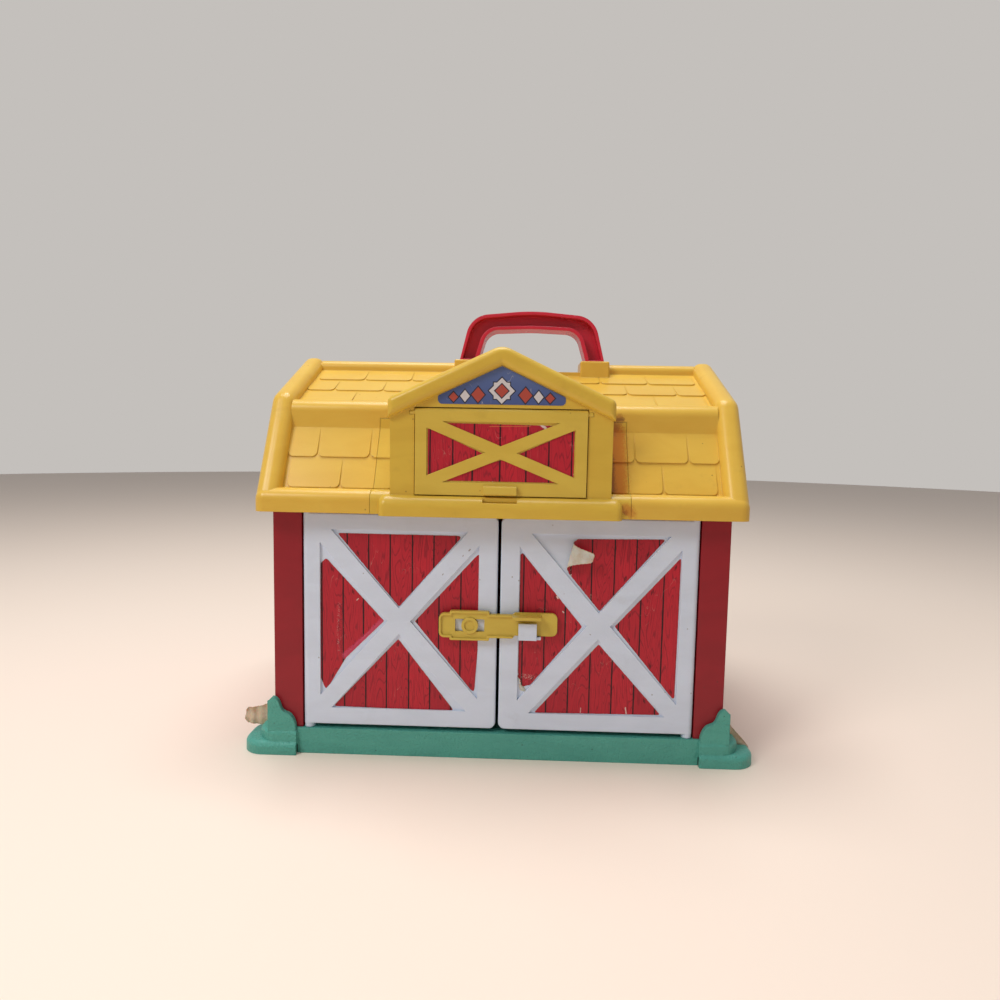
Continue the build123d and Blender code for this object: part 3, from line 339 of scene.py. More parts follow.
    @staticmethod
    def build_planks() -> bpy.types.NodeTree:
        """Printed boards: dark joints, wood grain, nail strokes and a tone for each board.

        Joints are where Across comes near a multiple of the board's width. Grain is contour lines of
        a noise stretched along the board, with another slice of the noise for each board. Nails are
        short strokes in the middle of a board, a few millimetres from its end.

        Returns:
            The group; Across, Along, Ends and Board are in millimetres.
        """
        g = GroupBuilder("planks", {"Across": "Float", "Along": "Float", "Ends": "Float", "Board": "Float"},
                         {"Joint": "Float", "Grain": "Float", "Nail": "Float", "Tone": "Float"})
        across, along, board = g.source["Across"], g.source["Along"], g.source["Board"]
        nail_spot, nail_inset, slices, rings = 0.47, 3.4, 3.7, 24.0
        wander = g.noise(g.join(0.0, g.times(along, 0.06), across), 1.0)
        wavy = g.math("ADD", across, g.times(g.math("SUBTRACT", wander, 0.5), 0.5))
        from_joint = g.math("PINGPONG", wavy, g.times(board, 0.5))
        g.feed(g.sink["Joint"], g.smooth(from_joint, low=0.72, high=0.3))
        from_nail = g.math("ABSOLUTE", g.math("SUBTRACT", from_joint, g.times(board, nail_spot)))
        from_inset = g.math("ABSOLUTE", g.math("SUBTRACT", g.source["Ends"], nail_inset))
        breadth = g.smooth(from_nail, low=0.5, high=0.15)
        g.feed(g.sink["Nail"], g.times(breadth, g.smooth(from_inset, low=1.8, high=1.0)))
        index = g.math("FLOOR", g.math("DIVIDE", wavy, board))
        wood = g.noise(g.join(g.times(across, 0.09), g.times(along, 0.011), g.times(index, slices)), 1.0,
                       rough=0.35, warp=0.35)
        from_ring = g.math("PINGPONG", g.times(wood, rings), 0.5)
        fibre = g.noise(g.join(g.times(across, 2.2), g.times(along, 0.1), index), 1.0)
        line = g.times(g.smooth(from_ring, low=0.17, high=0.03), g.smooth(fibre, low=0.26, high=0.46))
        streaks = g.times(g.smooth(fibre, low=0.54, high=0.7), 0.6)
        g.feed(g.sink["Grain"], g.math("MAXIMUM", line, streaks))
        g.feed(g.sink["Tone"], g.noise(g.join(index, 0.0, 0.5), 3.1, detail=0.0))
        return g.tree


EFFECTS = Effects()


# --- finishes -------------------------------------------------------------------------
@dataclass(frozen=True)
class Mark:
    """A stain, scuff or scratch along a straight stretch of the object, in millimetres."""

    start: tuple[float, float, float]
    end: tuple[float, float, float]
    width: float
    tint: Tint
    strength: float = 1.0
    crumbly: bool = False

    def lay(self, g: Graph, place: Socket, colour: Socket) -> Socket:
        """Paint the mark over a colour; a crumbly one only where a noise is high.

        Args:
            g: the material's graph.
            place: where the surface is, in millimetres.
            colour: the colour below.

        Returns:
            The colour with the mark on it.
        """
        streak = g.group(EFFECTS.streak, Place=place, Start=self.start, End=self.end, Width=self.width)
        share = g.times(streak["Mark"], self.strength)
        if self.crumbly:
            crumbs = g.noise(place, 1.4, detail=3.0, rough=0.7)
            share = g.times(share, g.smooth(crumbs, low=0.52, high=0.64))
        return g.mix(share, colour, self.tint)


class Finish:
    """Base of the finishes: one material with one Principled shader."""

    def start(self, name: str) -> tuple[Material, Graph, bpy.types.Node, Socket]:
        """A fresh material, its graph and shader, and the piece's own place.

        Args:
            name: the material's name.

        Returns:
            The material, the graph, the shader and the place in metres.
        """
        material = bpy.data.materials.new(name)
        material.use_nodes = True
        g = Graph(material.node_tree)
        return material, g, self.shader_of(material), self.place_of(g)

    @staticmethod
    def shader_of(material: Material) -> bpy.types.Node:
        """The material's Principled shader."""
        return material.node_tree.nodes["Principled BSDF"]

    @staticmethod
    def place_of(g: Graph) -> Socket:
        """The piece's own place, in metres."""
        return g.add("ShaderNodeTexCoord").outputs["Object"]

    @staticmethod
    def bump(g: Graph, height: object, depth: float, normal: Socket | None = None) -> Socket:
        """Normal of a relief in which one unit of height stands depth metres proud.

        Args:
            g: the material's graph.
            height: the relief's height.
            depth: metres to a unit of height.
            normal: the normal that the relief is laid on, if not the surface's own.

        Returns:
            The normal.
        """
        inputs = {"Height": height, "Distance": depth, "Strength": 1.0}
        if normal is not None:
            inputs["Normal"] = normal
        return g.add("ShaderNodeBump", inputs).outputs[0]

    @staticmethod
    def lay_marks(g: Graph, place: Socket, colour: Socket, marks: tuple[Mark, ...]) -> Socket:
        """Paint marks over a colour, in order.

        Args:
            g: the material's graph.
            place: the place in metres.
            colour: the colour below.
            marks: the marks.

        Returns:
            The colour with the marks on it.
        """
        millimetres = g.scaled(place, 1 / MM)
        for mark in marks:
            colour = mark.lay(g, millimetres, colour)
        return colour


@dataclass(frozen=True)
class Plastic(Finish):
    """Injection-moulded plastic with age, dirt and softened edges.

    The amounts from mottle to scratch_rough say how strongly each effect shows. The scratch is
    cut into the relief by scratch_depth units of its height.
    """

    name: str
    tint: Tint
    aged: Tint
    edge: Tint
    roughness: float = 0.34
    gloss: float = 0.36
    edge_radius: float = 0.7
    edge_wear: float = 0.25
    grain: float = 900.0
    grain_depth: float = 0.00004
    specks: float = 0.05
    dirt: Tint = Tint(70, 58, 48)
    scatter: float = 0.0
    marks: tuple[Mark, ...] = ()
    mottle: float = 0.55
    smudge: float = 0.14
    speck: float = 0.6
    smudge_rough: float = 0.16
    scratch_rough: float = 0.18
    scratch_depth: float = 0.7

    def material(self) -> Material:
        """The plastic: tint, age, edge wear, marks and dirt in that order, over a moulded relief.

        Returns:
            The material.
        """
        material, g, shader, place = self.start(self.name)
        soft = g.group(EFFECTS.soft_edges, Radius=self.edge_radius * MM)
        moulding = g.group(EFFECTS.moulding, Place=place, Grain=self.grain)
        grime = g.group(EFFECTS.grime, Place=place, Amount=self.specks)
        colour = g.cover(self.tint, self.aged, moulding["Mottle"], self.mottle)
        colour = g.cover(colour, self.edge, soft["Edge"], self.edge_wear)
        colour = self.lay_marks(g, place, colour, self.marks)
        colour = g.cover(colour, self.dirt, grime["Smudge"], self.smudge)
        colour = g.cover(colour, self.dirt, grime["Specks"], self.speck)
        rough = g.times_plus(grime["Smudge"], self.smudge_rough, self.roughness)
        rough = g.times_plus(grime["Scratch"], self.scratch_rough, rough)
        height = g.times_plus(grime["Scratch"], -self.scratch_depth, moulding["Height"])
        normal = self.bump(g, height, self.grain_depth, soft["Normal"])
        g.fill(shader, {"Base Color": colour, "Roughness": rough, "Normal": normal,
                        "Specular IOR Level": self.gloss})
        if self.scatter:
            g.fill(shader, {"Subsurface Weight": self.scatter, "Subsurface Scale": 0.003,
                            "Subsurface Radius": (1.0, 0.55, 0.25)})
        return material


@dataclass(frozen=True)
class PebbledPlastic(Plastic):
    """Moulded plastic whose face is etched with a pebbled texture."""

    pebble: float = 700.0
    pebble_depth: float = 0.0006

    def material(self) -> Material:
        """The plastic with rounded pebbles in its relief: the middles of Voronoi cells stand proud.

        Returns:
            The material.
        """
        material = super().material()
        g, shader = Graph(material.node_tree), self.shader_of(material)
        inputs = {"Vector": self.place_of(g), "Scale": self.pebble}
        cells = g.add("ShaderNodeTexVoronoi", inputs, feature="SMOOTH_F1").outputs["Distance"]
        inner = shader.inputs["Normal"].links[0].from_socket
        g.feed(shader.inputs["Normal"], self.bump(g, cells, -self.pebble_depth, inner))
        return material


@dataclass(frozen=True)
class ScrewSteel(Finish):
    """Zinc-plated steel with dull spots."""

    name: str = "screw_steel"
    tint: Tint = Tint(176, 176, 172)
    tarnish: Tint = Tint(104, 98, 88)
    roughness: float = 0.3
    spot_rough: float = 0.25
    edge_radius: float = 0.2
    grain_depth: float = 0.00001

    def material(self) -> Material:
        """The steel: a noise picks the dull spots, and a fine one gives the relief.

        Returns:
            The material.
        """
        material, g, shader, place = self.start(self.name)
        spots = g.smooth(g.noise(place, 420.0, detail=5.0, rough=0.7), low=0.45, high=0.7)
        colour = g.mix(spots, self.tint, self.tarnish)
        rough = g.times_plus(spots, self.spot_rough, self.roughness)
        soft = g.group(EFFECTS.soft_edges, Radius=self.edge_radius * MM)
        normal = self.bump(g, g.noise(place, 2600.0), self.grain_depth, soft["Normal"])
        g.fill(shader, {"Base Color": colour, "Metallic": 1.0, "Roughness": rough, "Normal": normal})
        return material


@dataclass(frozen=True)
class PrintedBoards(Finish):
    """Paper sheet printed with red boards, varnished, worn and rubbed pale at its rim.

    Reads the attribute "boards": across the boards, along them, and in from the rim; and the
    attribute "ends": how far the nearer end of the board is. All are in millimetres.
    """

    name: str
    marks: tuple[Mark, ...] = ()
    nails: float = 0.85
    board: float = 16.0
    tint: Tint = Tint(196, 36, 52)
    shade: Tint = Tint(178, 32, 48)
    grain: Tint = Tint(136, 24, 40)
    joint: Tint = Tint(30, 10, 18)
    paper: Tint = Tint(228, 196, 178)
    glue: Tint = Tint(150, 84, 52)
    specks: float = 0.03
    ink: float = 0.72
    glue_amount: float = 0.75
    scratch: float = 0.2
    roughness: float = 0.36
    smudge_rough: float = 0.2
    gloss: float = 0.3
    swell_depth: float = 0.00035

    def print_colour(self, g: Graph) -> tuple[Socket, Socket]:
        """Colour of the print before wear: tone by board, then grain, then joints and nails.

        Args:
            g: the material's graph.

        Returns:
            The colour, and the distance in from the rim.
        """
        across, along, rim = g.split(g.attribute("boards", "Vector"))
        boards = g.group(EFFECTS.planks, Across=across, Along=along, Ends=g.attribute("ends", "Fac"),
                         Board=self.board)
        colour = g.mix(g.smooth(boards["Tone"], low=0.3, high=0.7), self.tint, self.shade)
        colour = g.cover(colour, self.grain, boards["Grain"], self.ink)
        nails = g.times(boards["Nail"], self.nails)
        return g.mix(g.math("MAXIMUM", boards["Joint"], nails), colour, self.joint), rim

    def wear_rim(self, g: Graph, place: Socket, rim: Socket, colour: Socket) -> Socket:
        """Brown glue and then bare paper along a ragged rim.

        The raggedness is a fine noise added to the distance from the rim.

        Args:
            g: the material's graph.
            place: the place in metres.
            rim: the distance in from the rim, in millimetres.
            colour: the print's colour.

        Returns:
            The colour with the worn rim.
        """
        spread, inset = 1.5, 0.55
        fibres = g.noise(place, 700.0, detail=4.0, rough=0.7)
        ragged = g.times_plus(fibres, spread, g.math("SUBTRACT", rim, inset))
        colour = g.cover(colour, self.glue, g.smooth(ragged, low=0.55, high=0.1), self.glue_amount)
        return g.mix(g.smooth(ragged, low=0.22, high=0.0), colour, self.paper)

    def material(self) -> Material:
        """The print: boards, worn rim, marks and scratches over gently swollen paper.

        Returns:
            The material.
        """
        material, g, shader, place = self.start(self.name)
        colour, rim = self.print_colour(g)
        colour = self.wear_rim(g, place, rim, colour)
        colour = self.lay_marks(g, place, colour, self.marks)
        grime = g.group(EFFECTS.grime, Place=place, Amount=self.specks)
        colour = g.cover(colour, self.paper, grime["Scratch"], self.scratch)
        rough = g.times_plus(grime["Smudge"], self.smudge_rough, self.roughness)
        fine_share = 0.04
        swell = g.noise(place, 75.0, detail=3.0, rough=0.55)
        height = g.times_plus(g.noise(place, 1500.0), fine_share, swell)
        normal = self.bump(g, height, self.swell_depth)
        g.fill(shader, {"Base Color": colour, "Roughness": rough, "Normal": normal,
                        "Specular IOR Level": self.gloss})
        return material


@dataclass(frozen=True)
class BarePaper(Finish):
    """Back of a printed sheet: cream paper with torn fibres, glue spots and brown age at the rim.

    Reads the third part of the attribute "boards": how far in from the rim, in millimetres.
    """

    name: str
    tint: Tint = Tint(210, 206, 196)
    stain: Tint = Tint(192, 166, 134)
    spot: Tint = Tint(120, 108, 94)
    cloud: float = 0.5
    spotting: float = 0.7
    rim_age: float = 0.45
    roughness: float = 0.82
    scatter: float = 0.35
    fibre_depth: float = 0.00012

    def material(self) -> Material:
        """The paper: brown clouds, glue spots and a brown rim, over a relief of drawn-out fibres.

        Returns:
            The material.
        """
        material, g, shader, place = self.start(self.name)
        rim = g.split(g.attribute("boards", "Vector"))[2]
        cloud = g.smooth(g.noise(place, 160.0, detail=5.0, rough=0.7), low=0.42, high=0.72)
        colour = g.cover(self.tint, self.stain, cloud, self.cloud)
        spots = g.smooth(g.noise(place, 520.0, detail=3.0, rough=0.6), low=0.66, high=0.74)
        colour = g.cover(colour, self.spot, spots, self.spotting)
        colour = g.cover(colour, self.stain, g.smooth(rim, low=0.9, high=0.1), self.rim_age)
        drawn_out = g.vector("MULTIPLY", place, (1.0, 1.0, 2.5))
        fibres = g.noise(drawn_out, 900.0, detail=4.0, rough=0.7, warp=0.8)
        g.fill(shader, {"Base Color": colour, "Roughness": self.roughness,
                        "Subsurface Weight": self.scatter, "Subsurface Scale": 0.002,
                        "Normal": self.bump(g, fibres, self.fibre_depth)})
        return material


@dataclass(frozen=True)
class Patch:
    """One patch of the sign: a diamond, or a star where a square is joined to it."""

    middle: tuple[float, float]
    half: tuple[float, float]
    tint: Tint
    squared: bool = False
    outline: float = 0.75

    def outside(self, g: Graph, x: Socket, z: Socket) -> Socket:
        """Distance outside the patch, in millimetres, below zero inside.

        A diamond is where the sum of the two distances from its middle, each over its half width,
        is under one. A star is that diamond joined with a square of 0.62 of its reach.

        Args:
            g: the material's graph.
            x: place across the sign.
            z: place up the sign.

        Returns:
            The distance.
        """
        dx = g.math("ABSOLUTE", g.math("SUBTRACT", x, self.middle[0]))
        dz = g.math("ABSOLUTE", g.math("SUBTRACT", z, self.middle[1]))
        lean = g.math("ADD", g.math("DIVIDE", dx, self.half[0]), g.math("DIVIDE", dz, self.half[1]))
        slope = self.half[0] * self.half[1] / hypot(*self.half)
        diamond = g.times(g.math("SUBTRACT", lean, 1.0), slope)
        if not self.squared:
            return diamond
        square = g.math("SUBTRACT", g.math("MAXIMUM", dx, dz), self.half[0] * 0.62)
        return g.math("MINIMUM", diamond, square)

    def paint(self, g: Graph, x: Socket, z: Socket, colour: Socket, ink: Tint) -> Socket:
        """The patch with an ink outline, over a colour.

        Args:
            g: the material's graph.
            x: place across the sign.
            z: place up the sign.
            colour: the colour below.
            ink: the outline's tint.

        Returns:
            The colour with the patch on it.
        """
        edge = 0.12
        away = self.outside(g, x, z)
        colour = g.mix(g.smooth(away, low=self.outline + edge, high=self.outline - edge), colour, ink)
        return g.mix(g.smooth(away, low=edge, high=-edge), colour, self.tint)


CREAM = Tint(214, 208, 208)
BRICK = Tint(176, 72, 56)
SIGN_MIDDLE = (0.0, 271.5)
PATCHES = (
    Patch(SIGN_MIDDLE, (9.0, 9.0), CREAM, squared=True),
    *(Patch((way * 16.5, 268.6), (4.6, 5.4), BRICK) for way in (-1, 1)),
    *(Patch((way * 25.6, 267.6), (3.4, 4.2), CREAM) for way in (-1, 1)),
    *(Patch((way * 33.6, 266.8), (3.2, 3.4), BRICK) for way in (-1, 1)),
    Patch(SIGN_MIDDLE, (4.6, 4.6), BRICK, outline=0.7),
)


@dataclass(frozen=True)
class QuiltPrint(Finish):
    """Sign sheet: blue ground with a row of patchwork diamonds round a star."""

    name: str = "quilt_sign"
    patches: tuple[Patch, ...] = PATCHES
    wash: tuple[float, float] = (262.5, 283.5)
    ground: Tint = Tint(84, 102, 150)
    ground_low: Tint = Tint(72, 88, 140)
    ink: Tint = Tint(28, 30, 48)
    pale: Tint = CREAM
    specks: float = 0.08
    scratch: float = 0.6
    smudge: float = 0.25
    roughness: float = 0.34
    smudge_rough: float = 0.2
    swell_depth: float = 0.0003

    def material(self) -> Material:
        """The sign: the ground lighter towards the top, then the patches and the wear.

        Returns:
            The material.
        """
        material, g, shader, place = self.start(self.name)
        x, _, z = g.split(g.scaled(place, 1 / MM))
        colour = g.mix(g.smooth(z, *self.wash), self.ground_low, self.ground)
        for patch in self.patches:
            colour = patch.paint(g, x, z, colour, self.ink)
        grime = g.group(EFFECTS.grime, Place=place, Amount=self.specks)
        colour = g.cover(colour, self.pale, grime["Scratch"], self.scratch)
        colour = g.cover(colour, self.ink, grime["Smudge"], self.smudge)
        rough = g.times_plus(grime["Smudge"], self.smudge_rough, self.roughness)
        normal = self.bump(g, g.noise(place, 90.0, detail=3.0), self.swell_depth)
        g.fill(shader, {"Base Color": colour, "Roughness": rough, "Normal": normal})
        return material


@dataclass(frozen=True)
class StageFinish(Finish):
    """Pale satin board under the object."""

    name: str = "pale_board"
    tint: Tint = Tint(251, 232, 215)
    cloud: float = 0.06
    roughness: float = 0.45
    gloss: float = 0.3

    def material(self) -> Material:
        """The board: its tint with faint white clouds.

        Returns:
            The material.
        """
        material, g, shader, place = self.start(self.name)
        colour = g.cover(self.tint, WHITE, g.noise(place, 3.0), self.cloud)
        g.fill(shader, {"Base Color": colour, "Roughness": self.roughness,
                        "Specular IOR Level": self.gloss})
        return material


# --- thin sheets ----------------------------------------------------------------------
class Side(Enum):
    """Which side of the barn a piece is on, seen from the front."""

    LEFT = -1
    RIGHT = 1


@dataclass(frozen=True)
class Face:
    """Flat face that a sheet lies on: a point, two directions in it and the way out, in millimetres."""

    origin: tuple[float, float, float]
    across: tuple[float, float, float]
    up: tuple[float, float, float]
    out: tuple[float, float, float]

    def place(self, a: np.ndarray, b: np.ndarray, height: np.ndarray) -> np.ndarray:
        """Points in the model's frame: origin plus each coordinate times its direction.

        Args:
            a: coordinates across the face.
            b: coordinates up the face.
            height: heights over the face.

        Returns:
            An array with one more axis, of length 3.
        """
        ways = ((a, self.across), (b, self.up), (height, self.out))
        return sum(np.multiply.outer(value, way) for value, way in ways) + np.array(self.origin)


def front_face(node: str) -> Face:
    """The frontmost plane of a node that faces the front, seen from there."""
    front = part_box(node)[0].y / MM
    return Face((0.0, front, 0.0), across=(1.0, 0.0, 0.0), up=(0.0, 0.0, 1.0), out=(0.0, -1.0, 0.0))


def rounded_outline(corners: np.ndarray, count: int) -> np.ndarray:
    """Outline of a cut sheet, as points evenly spaced by length.

    Each corner is a parabola arc that leaves and meets its two sides smoothly, at a distance from
    the corner that gives about the wanted radius, and never past 0.45 of a side.

    Args:
        corners: rows of two coordinates and a radius, in order round the sheet.
        count: how many points to return.

    Returns:
        The points, one row each.
    """
    spot = corners[:, :2]
    before, after = np.roll(spot, 1, 0) - spot, np.roll(spot, -1, 0) - spot
    reach_before, reach_after = (np.linalg.norm(way, axis=1) for way in (before, after))
    before, after = before / reach_before[:, None], after / reach_after[:, None]
    half = np.arccos(np.clip((before * after).sum(1), -1, 1)) / 2
    longest = 0.45 * np.minimum(reach_before, reach_after)
    reach = np.minimum(corners[:, 2] / np.tan(half), longest)[:, None, None]
    t = np.linspace(0, 1, ARC_POINTS)[None, :, None]
    start, end = spot[:, None] + before[:, None] * reach, spot[:, None] + after[:, None] * reach
    path = ((1 - t) ** 2 * start + 2 * t * (1 - t) * spot[:, None] + t**2 * end).reshape(-1, 2)
    path = np.vstack([path, path[:1]])
    length = np.concatenate([[0], np.cumsum(np.linalg.norm(np.diff(path, axis=0), axis=1))])
    at = np.linspace(0, length[-1], count, endpoint=False)
    return np.stack([np.interp(at, length, path[:, k]) for k in (0, 1)], 1)


def distance_to_path(a: np.ndarray, b: np.ndarray, path: np.ndarray) -> np.ndarray:
    """Distance of many points to a path of straight runs: the least distance to any run's nearest point.

    Args:
        a: first coordinates of the points.
        b: second coordinates of the points.
        path: the path's corners, one row each.

    Returns:
        Distances, in the points' own shape.
    """
    spot = np.stack([a, b], -1)[..., None, :]
    start, run = path[:-1], np.diff(path, axis=0)
    share = np.clip(((spot - start) * run).sum(-1) / np.maximum((run**2).sum(-1), 1e-9), 0, 1)
    return np.linalg.norm(spot - start - share[..., None] * run, axis=-1).min(-1)


def grid_quads(grid: np.ndarray) -> np.ndarray:
    """Four-sided faces between neighbouring rows and columns of a grid.

    Args:
        grid: the points' numbers, by row and column.

    Returns:
        Four numbers for each face, one row each.
    """
    return np.stack([grid[:-1, :-1], grid[:-1, 1:], grid[1:, 1:], grid[1:, :-1]], -1).reshape(-1, 4)


def put(name: str, data: bpy.types.ID) -> bpy.types.Object:
    """Put data into the scene as an object at the origin.

    Args:
        name: the object's name.
        data: its mesh, lamp or camera.

    Returns:
        The object.
    """
    thing = bpy.data.objects.new(name, data)
    bpy.context.scene.collection.objects.link(thing)
    return thing


def weld(mesh: bpy.types.Mesh, closed: bool = True, angle: float = 40.0) -> None:
    """Merge doubled points, turn a closed mesh's faces outwards and smooth all but sharp edges.

    Args:
        mesh: the mesh.
        closed: whether the mesh encloses a space.
        angle: the least angle of a sharp edge, in degrees.
    """
    work = bmesh.new()
    work.from_mesh(mesh)
    bmesh.ops.remove_doubles(work, verts=work.verts, dist=MERGE_DISTANCE)
    if closed:
        bmesh.ops.recalc_face_normals(work, faces=work.faces)
    work.to_mesh(mesh)
    work.free()
    mesh.polygons.foreach_set("use_smooth", np.ones(len(mesh.polygons), dtype=bool))
    mesh.set_sharp_from_angle(angle=radians(angle))
    mesh.update()


@dataclass
class Sheet:
    """Thin closed sheet between a front and a back grid of points, in millimetres.

    With a pole, the columns close on themselves and row 0 is one point, repeated.
    """

    name: str
    front: np.ndarray
    back: np.ndarray
    boards: np.ndarray
    ends: np.ndarray
    pole: bool = False

    def quads(self) -> tuple[np.ndarray, np.ndarray]:
        """Faces of the front, and its border: the last row round a pole, or all four sides.

        Returns:
            Corner numbers of the four-sided faces, and the border's numbers in order.
        """
        grid = np.arange(self.front.shape[0] * self.front.shape[1]).reshape(self.front.shape[:2])
        if self.pole:
            return grid_quads(np.hstack([grid, grid[:, :1]])), grid[-1]
        border = np.concatenate([grid[0, :-1], grid[:-1, -1], grid[-1, :0:-1], grid[:0:-1, 0]])
        return grid_quads(grid), border

    def build(self, materials: list[Material]) -> bpy.types.Object:
        """The sheet as an object, print in the first material and back and rim in the second.

        The back repeats the front's faces the other way round, and the rim joins the two borders.

        Args:
            materials: the print's and the back's materials.

        Returns:
            The object, with its place in its mesh.
        """
        quads, border = self.quads()
        count = self.front.shape[0] * self.front.shape[1]
        beside = np.roll(border, -1)
        rim = np.stack([border, beside, beside + count, border + count], -1)
        points = np.concatenate([self.front.reshape(-1, 3), self.back.reshape(-1, 3)]) * MM
        faces = np.concatenate([quads, quads[:, ::-1] + count, rim])
        mesh = bpy.data.meshes.new(self.name)
        mesh.from_pydata(points.tolist(), [], faces.tolist())
        slots = np.ones(len(faces), dtype=np.int32)
        slots[:len(quads)] = 0
        mesh.polygons.foreach_set("material_index", slots)
        layer = mesh.attributes.new("boards", "FLOAT_VECTOR", "POINT")
        layer.data.foreach_set("vector", np.tile(self.boards.reshape(-1, 3), (2, 1)).ravel())
        layer = mesh.attributes.new("ends", "FLOAT", "POINT")
        layer.data.foreach_set("value", np.tile(self.ends.ravel(), 2))
        for material in materials:
            mesh.materials.append(material)
        weld(mesh)
        return put(self.name, mesh)


@dataclass(frozen=True)
class Boards:
    """Places of the printed joints between boards, and the width between them."""

    joints: tuple[float, ...]
    width: float = 16.0
    margin: int = 10

    def across(self, a: np.ndarray) -> np.ndarray:
        """Coordinate that is a multiple of the board's width at each printed joint.

        It runs straight between the joints, and beyond them for as many boards as the margin.

        Args:
            a: coordinates across the face.

        Returns:
            The coordinates across the boards.
        """
        known, beyond = np.array(self.joints), self.margin * self.width
        places = np.concatenate([known[:1] - beyond, known, known[-1:] + beyond])
        numbers = np.concatenate([[-self.margin], np.arange(len(known)), [len(known) - 1 + self.margin]])
        return np.interp(a, places, (numbers + 2.0 * self.margin) * self.width)


@dataclass(frozen=True)
class Ridge:
    """Place where a sheet has lifted along a path: a bell-shaped ridge whose height wavers along it."""

    path: tuple[tuple[float, float], ...]
    width: float
    height: float
    wave: float = 5.0

    def lift(self, a: np.ndarray, b: np.ndarray) -> np.ndarray:
        """Height of the ridge: height times exp(-(distance / width) squared), times a slow wave.

        The wave is 0.65 plus 0.35 of a sine along b times a cosine along a, 1.7 times as long.

        Args:
            a: coordinates across the face.
            b: coordinates up the face.

        Returns:
            Heights, in the points' own shape.
        """
        away = distance_to_path(a, b, np.array(self.path))
        waver = 0.65 + 0.35 * np.sin(2 * pi * b / self.wave) * np.cos(2 * pi * a / (1.7 * self.wave))
        return self.height * waver * np.exp(-((away / self.width) ** 2))


@dataclass(frozen=True)
class CutSheet:
    """Printed sheet with straight sides, laid flat on a face.

    Rings of points run from the middle to the outline: middle plus share times the way to the
    outline, with the rings closer together near the rim. The cut outline draws in and out by the
    sum of the waves round it, each as high as rough at a distance of rough_at from the middle. The
    rim droops by an exponential of its distance, and a ridge fades over ridge_inset from the rim.
    """

    name: str
    corners: tuple[tuple[float, float, float], ...]
    boards: Boards
    ridges: tuple[Ridge, ...] = ()
    thickness: float = 0.26
    points: int = 260
    rings: int = 18
    rough: float = 0.12
    rough_at: float = 90.0
    waves: tuple[int, ...] = (23, 41, 67)
    crowding: float = 1.5
    droop: float = 0.05
    droop_reach: float = 0.6
    ridge_inset: float = 1.5

    def build(self, face: Face, materials: list[Material]) -> bpy.types.Object:
        """The sheet on its face.

        Args:
            face: the plane of the sheet's front.
            materials: the print's and the back's materials.

        Returns:
            The sheet's object.
        """
        outline = rounded_outline(np.array(self.corners), self.points)
        turn = np.linspace(0, 2 * pi, self.points, endpoint=False)
        middle = outline.mean(0)
        waves = sum(np.sin(wave * turn + phase) for phase, wave in enumerate(self.waves))
        outline = middle + (outline - middle) * (1 - self.rough * waves / self.rough_at)[:, None]
        share = 1 - (1 - np.linspace(0, 1, self.rings)) ** self.crowding
        flat = middle + share[:, None, None] * (outline - middle)
        a, b = flat[..., 0], flat[..., 1]
        rim = distance_to_path(a, b, np.vstack([outline, outline[:1]]))
        lift = sum((ridge.lift(a, b) for ridge in self.ridges), np.zeros_like(a))
        lift = lift * np.minimum(rim / self.ridge_inset, 1)
        droop = self.droop * np.exp(-rim / self.droop_reach)
        front = face.place(a, b, lift - droop)
        back = face.place(a, b, lift - self.thickness)
        boards = np.stack([self.boards.across(a), b, rim], -1)
        ends = self.to_ends(a, b, outline)
        return Sheet(self.name, front, back, boards, ends, pole=True).build(materials)

    @staticmethod
    def to_ends(a: np.ndarray, b: np.ndarray, outline: np.ndarray) -> np.ndarray:
        """Distance to the nearer slanting end of the board, straight above or below.

        The slanting sides' heights are worked out at places across the sheet, the top and the low
        one are kept at each, and points between the places take their straight mix.

        Args:
            a: first coordinates of the points.
            b: second coordinates of the points.
            outline: the sheet's outline.

        Returns:
            Distances, in the points' own shape.
        """
        start, end = outline, np.roll(outline, -1, 0)
        inside, least_slope, places, far, tiny = 1e-3, 0.3, 240, 1e9, 1e-9
        where = np.linspace(outline[:, 0].min() + inside, outline[:, 0].max() - inside, places)[:, None]
        steep = np.abs(end[:, 1] - start[:, 1]) > least_slope * np.abs(end[:, 0] - start[:, 0])
        spans = ((start[:, 0] - where) * (end[:, 0] - where) <= 0) & steep
        width = np.where(np.abs(end[:, 0] - start[:, 0]) < tiny, tiny, end[:, 0] - start[:, 0])
        height = start[:, 1] + (end[:, 1] - start[:, 1]) * np.clip((where - start[:, 0]) / width, 0, 1)
        top = np.where(spans, height, -far).max(1)
        low = np.where(spans, height, far).min(1)
        place = where[:, 0]
        return np.minimum(np.abs(np.interp(a, place, top) - b), np.abs(b - np.interp(a, place, low)))


